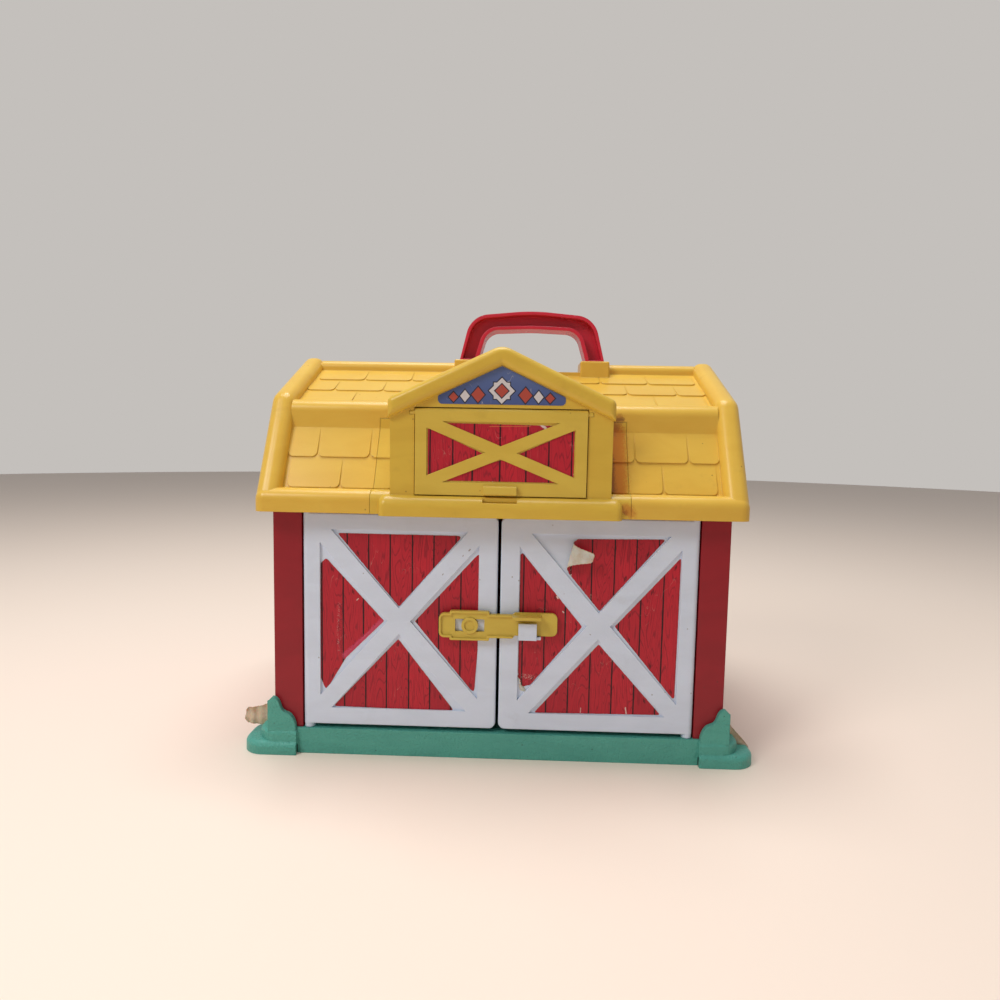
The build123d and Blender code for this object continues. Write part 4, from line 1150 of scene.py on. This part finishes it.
@dataclass(frozen=True)
class Curl:
    """Free corner of a sheet, peeled off its face and rolled back.

    The corner stands on the fold, from start to end, and narrows to its blunt tip, with its sides
    drawn in by the waist. Its distance v from the fold turns through the angle v / radius and then
    goes on straight. The sag is how far the paper sinks as it stands out beyond its reach, and the
    twist, from 0 to 1, turns its breadth upright as it leaves the face. The print carries on over
    the curl, so past_ends keeps its nails off.
    """

    name: str
    start: tuple[float, float]
    end: tuple[float, float]
    free: tuple[float, float]
    length: float
    tip: float
    tip_width: float
    radius: float
    turn: float
    boards: Boards
    sag: float = 0.0
    reach: float = 10.0
    twist: float = 0.0
    waist: float = 0.0
    ripple: float = 0.3
    thickness: float = 0.24
    rows: int = 44
    columns: int = 22
    past_ends: float = 9.0

    def lay_flat(self, fold: float, v: np.ndarray,
                 s: np.ndarray) -> tuple[np.ndarray, np.ndarray, np.ndarray]:
        """The corner before it rolls.

        Its sides run straight from the fold's ends to the blunt tip. The half width is then less by
        the waist times a half sine wave. The end is rounded like an ellipse over its last twentieth,
        and two sine waves along the length stand for the torn edge.

        Args:
            fold: the fold's length.
            v: distances from the fold, one row each.
            s: shares of the width, one column each.

        Returns:
            The middle and the half width by row, and each point's place along the fold.
        """
        narrow, blunt = np.clip(v / self.length, 0, 1), self.tip_width / 2
        low, high = narrow * (self.tip - blunt), fold - narrow * (fold - self.tip - blunt)
        middle, half = (low + high) / 2, (high - low) / 2 * (1 - self.waist * np.sin(pi * narrow))
        end_from, end_share, least = 0.955, 0.047, 0.45
        end = np.sqrt(np.clip(1 - np.clip((narrow - end_from) / end_share, 0, 1) ** 2, least, 1))
        torn = 1 + 0.02 * np.sin(2.3 * v) + 0.014 * np.sin(5.1 * v + 1)
        return middle, half, middle + (2 * s - 1) * half * end * torn

    def roll(self, v: np.ndarray) -> tuple[np.ndarray, np.ndarray, np.ndarray]:
        """The way along the rolled paper: an arc of the radius, then a straight run.

        Args:
            v: distances from the fold along the paper.

        Returns:
            The angle turned through, and how far along the face and above it the paper has come.
        """
        limit = radians(self.turn)
        angle = np.minimum(v / self.radius, limit)
        rest = np.maximum(v - self.radius * limit, 0)
        shift = self.radius * np.sin(angle) + rest * cos(limit)
        return angle, shift, self.radius * (1 - np.cos(angle)) + rest * sin(limit)

    def build(self, face: Face, materials: list[Material]) -> bpy.types.Object:
        """The rolled corner on its face.

        Each point is the fold's start, plus its row's middle along the fold, plus its way from the
        middle along the leaning breadth, plus the roll's shift along the free way. The ripple moves
        it along the paper's normal by a wave across and a wave along, both growing to the tip.

        Args:
            face: the plane of the sheet's front.
            materials: the print's and the back's materials.

        Returns:
            The corner's object.
        """
        start, end, free = np.array(self.start), np.array(self.end), np.array(self.free)
        fold = np.linalg.norm(end - start)
        along = (end - start) / fold
        v = np.linspace(0, self.length, self.rows)[:, None]
        s = np.linspace(0, 1, self.columns)[None, :]
        middle, half, u = self.lay_flat(fold, v, s)
        angle, shift, height = self.roll(v)
        growth = self.ripple * np.clip(v / self.length, 0, 1)
        wave = growth * np.sin(1.9 * pi * s + 0.5) + 0.5 * growth * np.sin(0.9 * v)
        upright = self.twist * np.minimum(height / self.radius, 1)
        lean = np.array([along[0] * (1 - upright), along[1] * (1 - upright) - upright])
        lean = lean / np.linalg.norm(lean, axis=0)
        spot = [start[k] + along[k] * middle + lean[k] * (u - middle) + free[k] * shift for k in (0, 1)]
        spot[1] = spot[1] - self.sag * np.tanh(height / self.reach)
        side = self.thickness / 2
        every = np.zeros_like(u)
        normal = face.place(-lean[1] * np.sin(angle) + every, lean[0] * np.sin(angle) + every,
                            np.cos(angle) + every) - np.array(face.origin)
        centre = face.place(spot[0], spot[1], height - side + every) + normal * wave[..., None]
        a, b = (start[k] + along[k] * u + free[k] * (v + every) for k in (0, 1))
        rim = np.minimum(np.minimum(s, 1 - s) * 2 * half, self.length - v + every)
        boards = np.stack([self.boards.across(a), b, rim], -1)
        front, back = centre + normal * side, centre - normal * side
        return Sheet(self.name, front, back, boards, rim + self.past_ends).build(materials)


# --- finishes of this barn ------------------------------------------------------------
BROWN_DIRT = Tint(122, 82, 40)
# Orange and brown bands on the roof beside the dormer's right wall, darkest along the join and across its
# top; brown and orange streaks on the eave below; a pale streak near the join's top; a faint amber band
# along the eave's front.
ROOF_MARKS = (
    Mark((84.5, -104.0, 203.0), (84.5, -84.0, 243.0), 10.0, Tint(206, 126, 30), 0.95),
    Mark((79.5, -105.0, 202.0), (79.0, -92.0, 226.0), 4.6, Tint(124, 72, 26), 0.75),
    Mark((81.0, -84.5, 245.0), (86.0, -83.0, 254.0), 6.0, Tint(172, 106, 40), 0.6),
    Mark((80.0, -84.0, 253.6), (89.0, -83.0, 254.4), 2.0, Tint(118, 74, 38), 0.65),
    Mark((90.0, -114.0, 192.0), (87.0, -124.0, 186.0), 2.4, Tint(120, 66, 30), 0.7),
    Mark((88.0, -118.0, 191.0), (94.0, -124.0, 187.0), 5.5, Tint(190, 108, 34), 0.65),
    Mark((92.0, -80.0, 254.0), (91.0, -81.5, 251.5), 1.0, Tint(240, 236, 220), 0.9),
    Mark((-60.0, -122.0, 188.0), (-20.0, -122.0, 188.0), 3.0, Tint(214, 150, 60), 0.25),
)
YELLOW = Plastic("roof_yellow", Tint(226, 184, 74), Tint(218, 172, 64), Tint(238, 203, 102),
                 roughness=0.28, edge_radius=0.9, scatter=0.06, specks=0.04, dirt=BROWN_DIRT, marks=ROOF_MARKS)
# The roof's yellow plastic made a little darker and greener: painted shade of the dormer's upright faces.
SHADED_DORMER_YELLOW = Plastic("shaded_dormer_yellow", Tint(220, 183, 68), Tint(210, 170, 60), Tint(234, 202, 98),
                        roughness=0.28, scatter=0.06, dirt=BROWN_DIRT, marks=ROOF_MARKS)
HATCH_YELLOW = Plastic("hatch_yellow", Tint(218, 186, 76), Tint(208, 174, 66), Tint(232, 204, 104),
                       roughness=0.3, edge_radius=0.5, scatter=0.06, specks=0.06, dirt=BROWN_DIRT)
LATCH_YELLOW = Plastic("latch_yellow", Tint(212, 184, 76), Tint(200, 170, 66), Tint(226, 202, 112),
                       edge_radius=0.5, scatter=0.06, specks=0.1, dirt=Tint(104, 80, 44), grain=700.0)
WALL_RED = Plastic("wall_red", Tint(152, 22, 35), Tint(138, 19, 31), Tint(170, 46, 54),
                   edge_radius=0.8, dirt=Tint(70, 40, 40))
HANDLE_RED = Plastic("handle_red", Tint(214, 44, 68), Tint(196, 38, 60), Tint(236, 110, 124),
                     roughness=0.26, edge_radius=1.0, specks=0.03, dirt=Tint(60, 30, 34))
BASE_GREEN = PebbledPlastic("base_green", Tint(86, 168, 152), Tint(76, 154, 140), Tint(110, 186, 168),
                            roughness=0.38, edge_radius=0.8, specks=0.1, dirt=Tint(52, 74, 66), grain=700.0)
PAPER_BACK = BarePaper("paper_back")
SIDE_PAPER_BACK = BarePaper("side_paper_back", Tint(208, 190, 164), Tint(172, 142, 108))

DOOR_DEPTH = -104.5
PRINT_DEPTH = -103.0
HATCH_PRINT_DEPTH = -119.0
PINK = Tint(206, 74, 104)
PALE = Tint(224, 206, 196)
PALE_PINK = Tint(246, 214, 206)
DARK_RED = Tint(96, 24, 44)
AMBER = Tint(214, 120, 70)
CHIP = Tint(122, 96, 74)
GREY_CHIP = Tint(120, 108, 100)


def rub(start: tuple[float, float], end: tuple[float, float], width: float, tint: Tint = PALE,
        strength: float = 1.0, crumbly: bool = False, depth: float = PRINT_DEPTH) -> Mark:
    """A mark on a face that looks to the front.

    Args:
        start: where it starts, across and up.
        end: where it ends, across and up.
        width: its width.
        tint: its tint.
        strength: how much it covers, 0 to 1.
        crumbly: whether it is broken up.
        depth: how far back the face is.

    Returns:
        The mark.
    """
    return Mark((start[0], depth, start[1]), (end[0], depth, end[1]), width, tint, strength, crumbly)


CHIPS = (
    rub((-21.5, 157.5), (-22.3, 156.6), 0.7, CHIP, 0.7, depth=DOOR_DEPTH),
    rub((-26.4, 153.0), (-26.8, 152.4), 0.5, CHIP, 0.7, depth=DOOR_DEPTH),
    rub((-41.0, 139.0), (-41.6, 138.2), 0.5, CHIP, 0.6, depth=DOOR_DEPTH),
    rub((67.4, 96.6), (67.9, 96.2), 0.5, GREY_CHIP, 0.6, depth=DOOR_DEPTH),
)
DOOR_WHITE = Plastic("door_white", Tint(217, 227, 243), Tint(208, 217, 232), Tint(232, 236, 244),
                     edge_radius=0.5, edge_wear=0.2, scatter=0.05, specks=0.04,
                     dirt=Tint(128, 112, 98), marks=CHIPS)
LEFT_PRINT = PrintedBoards("left_door_print", marks=(
    # Pink bands and thin pale lines along the lifted lower edge of the left sheet: pink paper showing where
    # the print is rubbed, with painted highlight where the lifted edge catches the light.
    rub((-87.0, 101.8), (-100.4, 87.6), 2.6, PINK, 0.9),
    rub((-99.6, 88.4), (-113.6, 75.2), 3.2, PINK, 0.8),
    rub((-88.0, 98.6), (-112.6, 73.6), 0.5, PALE_PINK, 0.7),
    rub((-96.0, 93.6), (-109.6, 80.0), 0.5, strength=0.5),
    rub((-116.2, 113.0), (-117.2, 78.0), 2.6, DARK_RED, 0.8, crumbly=True),
    rub((-118.2, 115.0), (-118.9, 103.0), 1.4, strength=0.32, crumbly=True),
    rub((-119.2, 103.0), (-119.6, 90.0), 1.2, strength=0.28, crumbly=True),
    rub((-119.4, 89.0), (-118.2, 76.5), 1.3, strength=0.3, crumbly=True),
    rub((-105.2, 117.4), (-104.0, 118.6), 0.45, strength=0.7)))
RIGHT_PRINT = PrintedBoards("right_door_print", marks=(
    rub((42.6, 123.9), (43.4, 122.6), 0.7),
    rub((50.0, 118.9), (49.4, 117.6), 0.6),
    rub((47.3, 112.8), (47.9, 111.9), 0.6),
    rub((18.6, 63.4), (26.0, 62.6), 2.4, strength=0.8, crumbly=True),
    rub((19.0, 60.4), (22.6, 57.4), 2.0, PINK, 0.8, crumbly=True),
    rub((62.4, 40.2), (62.2, 36.7), 0.45, strength=0.6),
    rub((95.4, 41.3), (96.0, 36.9), 0.6, strength=0.9),
    rub((52.6, 140.2), (51.4, 138.8), 0.6, strength=0.8)))
HATCH_PRINT = PrintedBoards("hatch_print", nails=0.0, marks=(
    rub((26.5, 249.5), (31.0, 246.0), 1.3, depth=HATCH_PRINT_DEPTH),
    rub((-8.0, 246.8), (20.0, 247.4), 0.5, AMBER, 0.6, depth=HATCH_PRINT_DEPTH)))
SIDE_PRINT = PrintedBoards("side_print")


def dress(material: Material, *nodes: str) -> int:
    """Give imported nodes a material, in the slots they have.

    Args:
        material: the finish.
        nodes: names of the nodes.

    Returns:
        The number of nodes.
    """
    for name in nodes:
        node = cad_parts[name]
        if not node.material_slots:
            node.data.materials.append(material)
        for place in node.material_slots:
            place.material = material
    return len(nodes)


def settle(piece: bpy.types.Object, node: str, body: str) -> None:
    """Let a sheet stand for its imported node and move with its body.

    Args:
        piece: the sheet.
        node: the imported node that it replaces.
        body: the body that carries it.
    """
    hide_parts(node)
    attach(piece, body)


# --- sub-assemblies -------------------------------------------------------------------
@dataclass
class BarnShell:
    """Base, walls, floors, roof and dormer."""

    def dress(self) -> int:
        """Finish the mouldings of the shell.

        Returns:
            The number of nodes.
        """
        red, yellow = WALL_RED.material(), YELLOW.material()
        count = dress(BASE_GREEN.material(), "base")
        count += dress(red, "side_wall_left", "side_wall_right", "back_wall", "loft_floor")
        count += dress(yellow, "roof")
        return count + dress(SHADED_DORMER_YELLOW.material(), "dormer")


@dataclass
class Fittings:
    """Carrying handle, latch bar and screws."""

    def dress(self) -> int:
        """Finish the fittings.

        Returns:
            The number of nodes.
        """
        count = dress(HANDLE_RED.material(), "handle")
        count += dress(LATCH_YELLOW.material(), "latch")
        return count + dress(ScrewSteel().material(), "base_screws", "loft_screws", "handle_screws")


LEFT_SHEETS = (
    CutSheet("left_door_sheet_top", ((-119.5, 167.3, 0.9), (-27.0, 167.1, 2.0), (-73.7, 113.2, 1.0)),
             Boards((-96.3, -80.4, -64.0, -48.2, -32.0))),
    CutSheet("left_door_sheet_left",
             ((-132.0, 144.6, 1.0), (-127.9, 148.6, 2.0), (-84.8, 102.2, 1.0), (-113.4, 73.4, 0.5),
              (-128.3, 47.8, 2.0), (-132.5, 58.0, 5.0)),
             Boards((-131.2, -115.3, -100.2)), points=420, rings=46, ridges=(
                 Ridge(((-118.5, 113.0), (-117.0, 104.0), (-119.2, 95.0), (-117.6, 86.0), (-118.8, 74.5)),
                       1.1, 0.55),
                 Ridge(((-121.5, 102.0), (-120.4, 92.0), (-122.0, 83.0)), 0.8, 0.3),
                 Ridge(((-88.0, 102.0), (-100.8, 88.6), (-113.4, 76.4)), 1.1, 0.7, 90.0))),
    CutSheet("left_door_sheet_right",
             ((-14.4, 155.2, 1.6), (-14.6, 87.9, 0.6), (-17.2, 48.4, 2.0), (-61.9, 102.6, 1.0)),
             Boards((-44.1, -28.0))),
    CutSheet("left_door_sheet_bottom", ((-74.1, 88.8, 0.8), (-122.8, 36.0, 1.0), (-31.8, 34.8, 1.6)),
             Boards((-98.4, -82.9, -66.2, -50.4, -34.7))),
)
RIGHT_SHEETS = (
    CutSheet("right_door_sheet_top",
             ((57.5, 166.7, 0.4), (119.6, 167.8, 1.2), (119.2, 166.4, 0.6), (74.0, 113.6, 1.0),
              (51.5, 140.4, 0.4)),
             Boards((52.3, 67.5, 84.0, 99.8))),
    CutSheet("right_door_sheet_left",
             ((16.9, 155.8, 1.0), (15.3, 154.2, 1.0), (15.3, 65.4, 1.0), (19.3, 55.2, 0.5),
              (24.6, 56.8, 0.5), (61.7, 101.7, 1.0)),
             Boards((18.0, 34.0, 49.1))),
    CutSheet("right_door_sheet_right",
             ((131.6, 154.4, 1.0), (131.9, 152.4, 1.0), (131.1, 49.8, 1.0), (129.6, 49.2, 0.6),
              (85.5, 102.4, 1.0)),
             Boards((88.2, 103.9, 120.2))),
    CutSheet("right_door_sheet_bottom", ((74.2, 88.9, 0.8), (27.6, 35.5, 0.9), (121.4, 36.5, 1.0)),
             Boards((52.3, 68.2, 84.5, 101.0))),
)
DOOR_FLAP = Curl("right_door_peeled_corner", start=(57.5, 166.7), end=(51.5, 140.4), free=(-0.975, 0.2224),
                 length=23.4, tip=9.9, tip_width=6.4, radius=3.3, turn=164.0, boards=Boards((52.3, 67.5)),
                 waist=0.24, ripple=0.5)
DOOR_TIP = Curl("right_door_torn_tip", start=(15.7, 64.4), end=(19.5, 55.4), free=(-0.92, -0.39),
                length=4.6, tip=4.0, tip_width=2.2, radius=1.3, turn=120.0, boards=Boards((18.0, 34.0)),
                ripple=0.5, rows=20, columns=12)
DOOR_SCRAP = CutSheet("right_door_paper_scrap",
                      ((15.8, 57.4, 0.4), (19.8, 55.0, 0.5), (22.6, 50.6, 0.5), (16.8, 52.6, 0.8)),
                      Boards((18.0, 34.0)), points=120,
                      ridges=(Ridge(((16.4, 55.0), (21.8, 52.0)), 1.2, 0.7),))


@dataclass
class Door:
    """One front door with its printed sheets."""

    side: Side
    sheets: tuple[CutSheet, ...]
    curls: tuple[Curl, ...]
    finish: PrintedBoards
    scraps: tuple[CutSheet, ...] = ()

    @property
    def word(self) -> str:
        """The side's name as the nodes have it."""
        return self.side.name.lower()

    def build(self, paper: Material) -> int:
        """Lay the sheets in the door's panels.

        Args:
            paper: material of the sheets' backs.

        Returns:
            The number of pieces.
        """
        node, face = f"door_label_{self.word}", front_face(f"door_label_{self.word}")
        print_material = self.finish.material()
        for sheet in self.sheets + self.curls:
            settle(sheet.build(face, [print_material, paper]), node, f"{self.word}_door")
        for scrap in self.scraps:
            settle(scrap.build(face, [paper, paper]), node, f"{self.word}_door")
        return len(self.sheets) + len(self.curls) + len(self.scraps)


HATCH_SHEETS = (
    CutSheet("hatch_sheet_top", ((-41.5, 248.8, 1.0), (41.0, 248.0, 1.0), (0.6, 229.6, 0.8)),
             Boards((-38.0, -18.6, -0.6, 18.9)), points=200),
    CutSheet("hatch_sheet_bottom", ((0.4, 223.6, 0.8), (-46.0, 208.4, 1.0), (46.6, 208.2, 1.0)),
             Boards((-38.0, -19.8, -0.4, 17.9)), points=200),
)


@dataclass
class Hatch:
    """Loft hatch with its printed sheets.

    A side sheet is a triangle with its apex towards the middle of the hatch and its upright side
    at half the hatch's width, between its foot and its top, with one printed joint.
    """

    half: float = 51.2
    apex: float = 9.6
    apex_height: float = 226.6
    top: float = 245.2
    foot: float = 209.4
    joint: float = 33.6
    board: float = 16.0
    sheets: tuple[CutSheet, ...] = HATCH_SHEETS

    def side_sheet(self, side: Side) -> CutSheet:
        """The triangular sheet at one end of the hatch.

        Args:
            side: which end.

        Returns:
            The sheet.
        """
        way = side.value
        corners = ((way * self.apex, self.apex_height, 0.8), (way * self.half, self.top, 1.0),
                   (way * self.half, self.foot, 1.0))
        joint = self.joint * way
        joints = (joint - self.board, joint, joint + self.board)
        return CutSheet(f"hatch_sheet_{side.name.lower()}", corners, Boards(joints), points=180)

    def build(self, paper: Material) -> int:
        """Lay the sheets in the hatch's panels and finish the hatch.

        Args:
            paper: material of the sheets' backs.

        Returns:
            The number of pieces.
        """
        dress(HATCH_YELLOW.material(), "hatch")
        face, print_material = front_face("hatch_label"), HATCH_PRINT.material()
        sheets = self.sheets + tuple(self.side_sheet(side) for side in Side)
        for sheet in sheets:
            settle(sheet.build(face, [print_material, paper]), "hatch_label", "loft_hatch")
        return len(sheets)


@dataclass(frozen=True)
class Peel:
    """How far a side sheet has come off: the fold's reach up and along, and the loose corner's shape."""

    up: float
    along: float
    length: float
    tip: float
    tip_width: float
    sag: float
    reach: float
    waist: float
    ripple: float


PEELS = {
    Side.LEFT: Peel(up=17.0, along=24.0, length=32.0, tip=0.5, tip_width=11.5, sag=8.5, reach=12.0,
                    waist=0.2, ripple=1.4),
    Side.RIGHT: Peel(up=17.0, along=24.0, length=28.5, tip=0.5, tip_width=3.0, sag=92.0, reach=100.0,
                     waist=0.33, ripple=0.6),
}


@dataclass
class SideSheets:
    """Large printed sheet on each side wall, peeled at its lower front corner."""

    radius: float = 6.5
    turn: float = 92.0
    corner: float = 3.0
    fold_corner: float = 0.4
    first_joint: float = 14.0
    board: float = 16.0
    joints: int = 12
    peels: dict[Side, Peel] = field(default_factory=lambda: PEELS)

    def build_side(self, side: Side, materials: list[Material]) -> int:
        """The sheet and its rolled corner on one wall.

        The sheet is a rectangle that lacks the triangle under the fold, and the curl starts there.

        Args:
            side: which wall.
            materials: the print's and the back's materials.

        Returns:
            The number of pieces.
        """
        word, peel = side.name.lower(), self.peels[side]
        node = f"side_label_{word}"
        low, high = (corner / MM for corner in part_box(node))
        outer = low.x if side is Side.LEFT else high.x
        face = Face((outer, 0.0, 0.0), across=(0.0, 1.0, 0.0), up=(0.0, 0.0, 1.0),
                    out=(float(side.value), 0.0, 0.0))
        front, back, foot, top = low.y, high.y, low.z, high.z
        fold_start, fold_end = (front, foot + peel.up), (front + peel.along, foot)
        fold = hypot(peel.up, peel.along)
        first = front + self.first_joint
        boards = Boards(tuple(first + self.board * number for number in range(self.joints)))
        corners = ((*fold_start, self.fold_corner), (front, top, self.corner), (back, top, self.corner),
                   (back, foot, self.corner), (*fold_end, self.fold_corner))
        sheet = CutSheet(f"side_sheet_{word}", corners, boards, points=420, rings=26)
        free = (-peel.up / fold, -peel.along / fold)
        curl = Curl(f"side_peeled_corner_{word}", fold_start, fold_end, free,
                    length=peel.length, tip=fold * peel.tip, tip_width=peel.tip_width, radius=self.radius,
                    turn=self.turn, boards=boards, sag=peel.sag, reach=peel.reach, twist=1.0,
                    waist=peel.waist, ripple=peel.ripple)
        for thing in (sheet, curl):
            settle(thing.build(face, materials), node, "barn")
        return 2

    def build(self, paper: Material) -> int:
        """Both walls' sheets.

        Args:
            paper: material of the sheets' backs.

        Returns:
            The number of pieces.
        """
        materials = [SIDE_PRINT.material(), paper]
        return sum(self.build_side(side, materials) for side in Side)


# --- studio ---------------------------------------------------------------------------
@dataclass(frozen=True)
class SoftBox:
    """Large square lamp, in metres and watts."""

    name: str
    spot: tuple[float, float, float]
    aim: tuple[float, float, float]
    size: float
    power: float
    tint: tuple[float, float, float] = (1.0, 1.0, 1.0)

    def hang(self) -> None:
        """Put the lamp up and turn it towards its aim."""
        lamp = bpy.data.lights.new(self.name, "AREA")
        lamp.size, lamp.energy, lamp.color = self.size, self.power, self.tint
        thing = put(self.name, lamp)
        thing.location = self.spot
        thing.rotation_euler = (Vector(self.aim) - Vector(self.spot)).to_track_quat("-Z", "Y").to_euler()


@dataclass
class Studio:
    """Floor, lamps, pale surroundings and the camera."""

    floor_radius: float = 4.0
    lamps: tuple[SoftBox, ...] = (
        SoftBox("key", (-0.85, -0.95, 1.15), (0.0, 0.0, 0.15), 0.5, 8.5, (1.0, 0.99, 0.98)),
        SoftBox("overhead", (-0.12, 0.05, 1.9), (0.0, 0.0, 0.1), 1.1, 26.0),
    )
    ambient: float = 0.25
    air: Tint = Tint(236, 236, 240)
    backdrop: Tint = Tint(196, 192, 188)
    camera_place: tuple[float, float, float] = (0.01507, -0.60557, 0.23953)
    yaw: float = radians(-1.765)
    pitch: float = radians(-5.167)
    roll: float = radians(1.035)
    lens: float = 25.03
    sensor: float = 36.0
    clip: tuple[float, float] = (0.01, 20.0)

    def build_floor(self) -> None:
        """Round floor: rings of points round the middle, at height 0."""
        rings, points_round = 5, 97
        reach = np.linspace(0, self.floor_radius, rings)[:, None]
        turn = np.linspace(0, 2 * pi, points_round)[None, :]
        points = np.stack([reach * np.cos(turn), reach * np.sin(turn), 0 * reach * turn], -1)
        grid = np.arange(reach.size * turn.size).reshape(reach.size, turn.size)
        mesh = bpy.data.meshes.new("floor")
        mesh.from_pydata(points.reshape(-1, 3).tolist(), [], grid_quads(grid)[:, ::-1].tolist())
        weld(mesh, closed=False)
        mesh.materials.append(StageFinish().material())
        floor = put("floor", mesh)

    def build_surroundings(self) -> None:
        """Weak even light. The camera, glass and gloss see a pale backdrop in its place."""
        world = bpy.data.worlds.new("surroundings")
        world.use_nodes = True
        bpy.context.scene.world = world
        g = Graph(world.node_tree)
        soft = world.node_tree.nodes["Background"]
        g.fill(soft, {"Color": self.air, "Strength": self.ambient})
        seen = g.add("ShaderNodeBackground", {"Color": self.backdrop, "Strength": 1.0})
        path = g.add("ShaderNodeLightPath").outputs
        rays = g.math("MAXIMUM", path["Is Camera Ray"], path["Is Transmission Ray"])
        rays = g.math("MAXIMUM", rays, path["Is Glossy Ray"])
        blend = g.add("ShaderNodeMixShader", {0: rays, 1: soft.outputs[0], 2: seen.outputs[0]})
        g.feed(world.node_tree.nodes["World Output"].inputs["Surface"], blend.outputs[0])

    def place_camera(self) -> None:
        """The camera: forward from yaw and pitch, then rolled about the view."""
        level = cos(self.pitch)
        forward = Vector((sin(self.yaw) * level, cos(self.yaw) * level, sin(self.pitch)))
        right = Vector((cos(self.yaw), -sin(self.yaw), 0.0))
        up = right.cross(forward)
        rolled = right * cos(self.roll) + up * sin(self.roll)
        upright = up * cos(self.roll) - right * sin(self.roll)
        lens = bpy.data.cameras.new("camera")
        lens.sensor_width, lens.lens = self.sensor, self.lens
        lens.clip_start, lens.clip_end = self.clip
        camera = put("camera", lens)
        turn = Matrix((rolled, upright, -forward)).transposed().to_4x4()
        camera.matrix_world = Matrix.Translation(self.camera_place) @ turn
        bpy.context.scene.camera = camera

    def build(self) -> None:
        """The whole studio."""
        self.build_floor()
        self.build_surroundings()
        for lamp in self.lamps:
            lamp.hang()
        self.place_camera()
        bpy.context.scene.view_settings.view_transform = "Standard"


def main() -> None:
    """Dress the barn, lay its sheets and set the studio, telling of each piece."""
    logging.basicConfig(level=logging.INFO, format="%(message)s")
    paper = PAPER_BACK.material()
    Studio().build()
    LOG.info("studio: floor, surroundings and camera")
    LOG.info("shell: %d mouldings", BarnShell().dress())
    LOG.info("fittings: %d nodes", Fittings().dress())
    dress(DOOR_WHITE.material(), "door_left", "door_right")
    left = Door(Side.LEFT, LEFT_SHEETS, (), LEFT_PRINT)
    right = Door(Side.RIGHT, RIGHT_SHEETS, (DOOR_FLAP, DOOR_TIP), RIGHT_PRINT, (DOOR_SCRAP,))
    LOG.info("left door: %d sheets", left.build(paper))
    LOG.info("right door: %d sheets", right.build(paper))
    LOG.info("hatch: %d sheets", Hatch().build(paper))
    LOG.info("side walls: %d sheets", SideSheets().build(SIDE_PAPER_BACK.material()))
    dress(QuiltPrint().material(), "sign_label")
    LOG.info("sign: patchwork print")


if __name__ == "__main__":
    main()
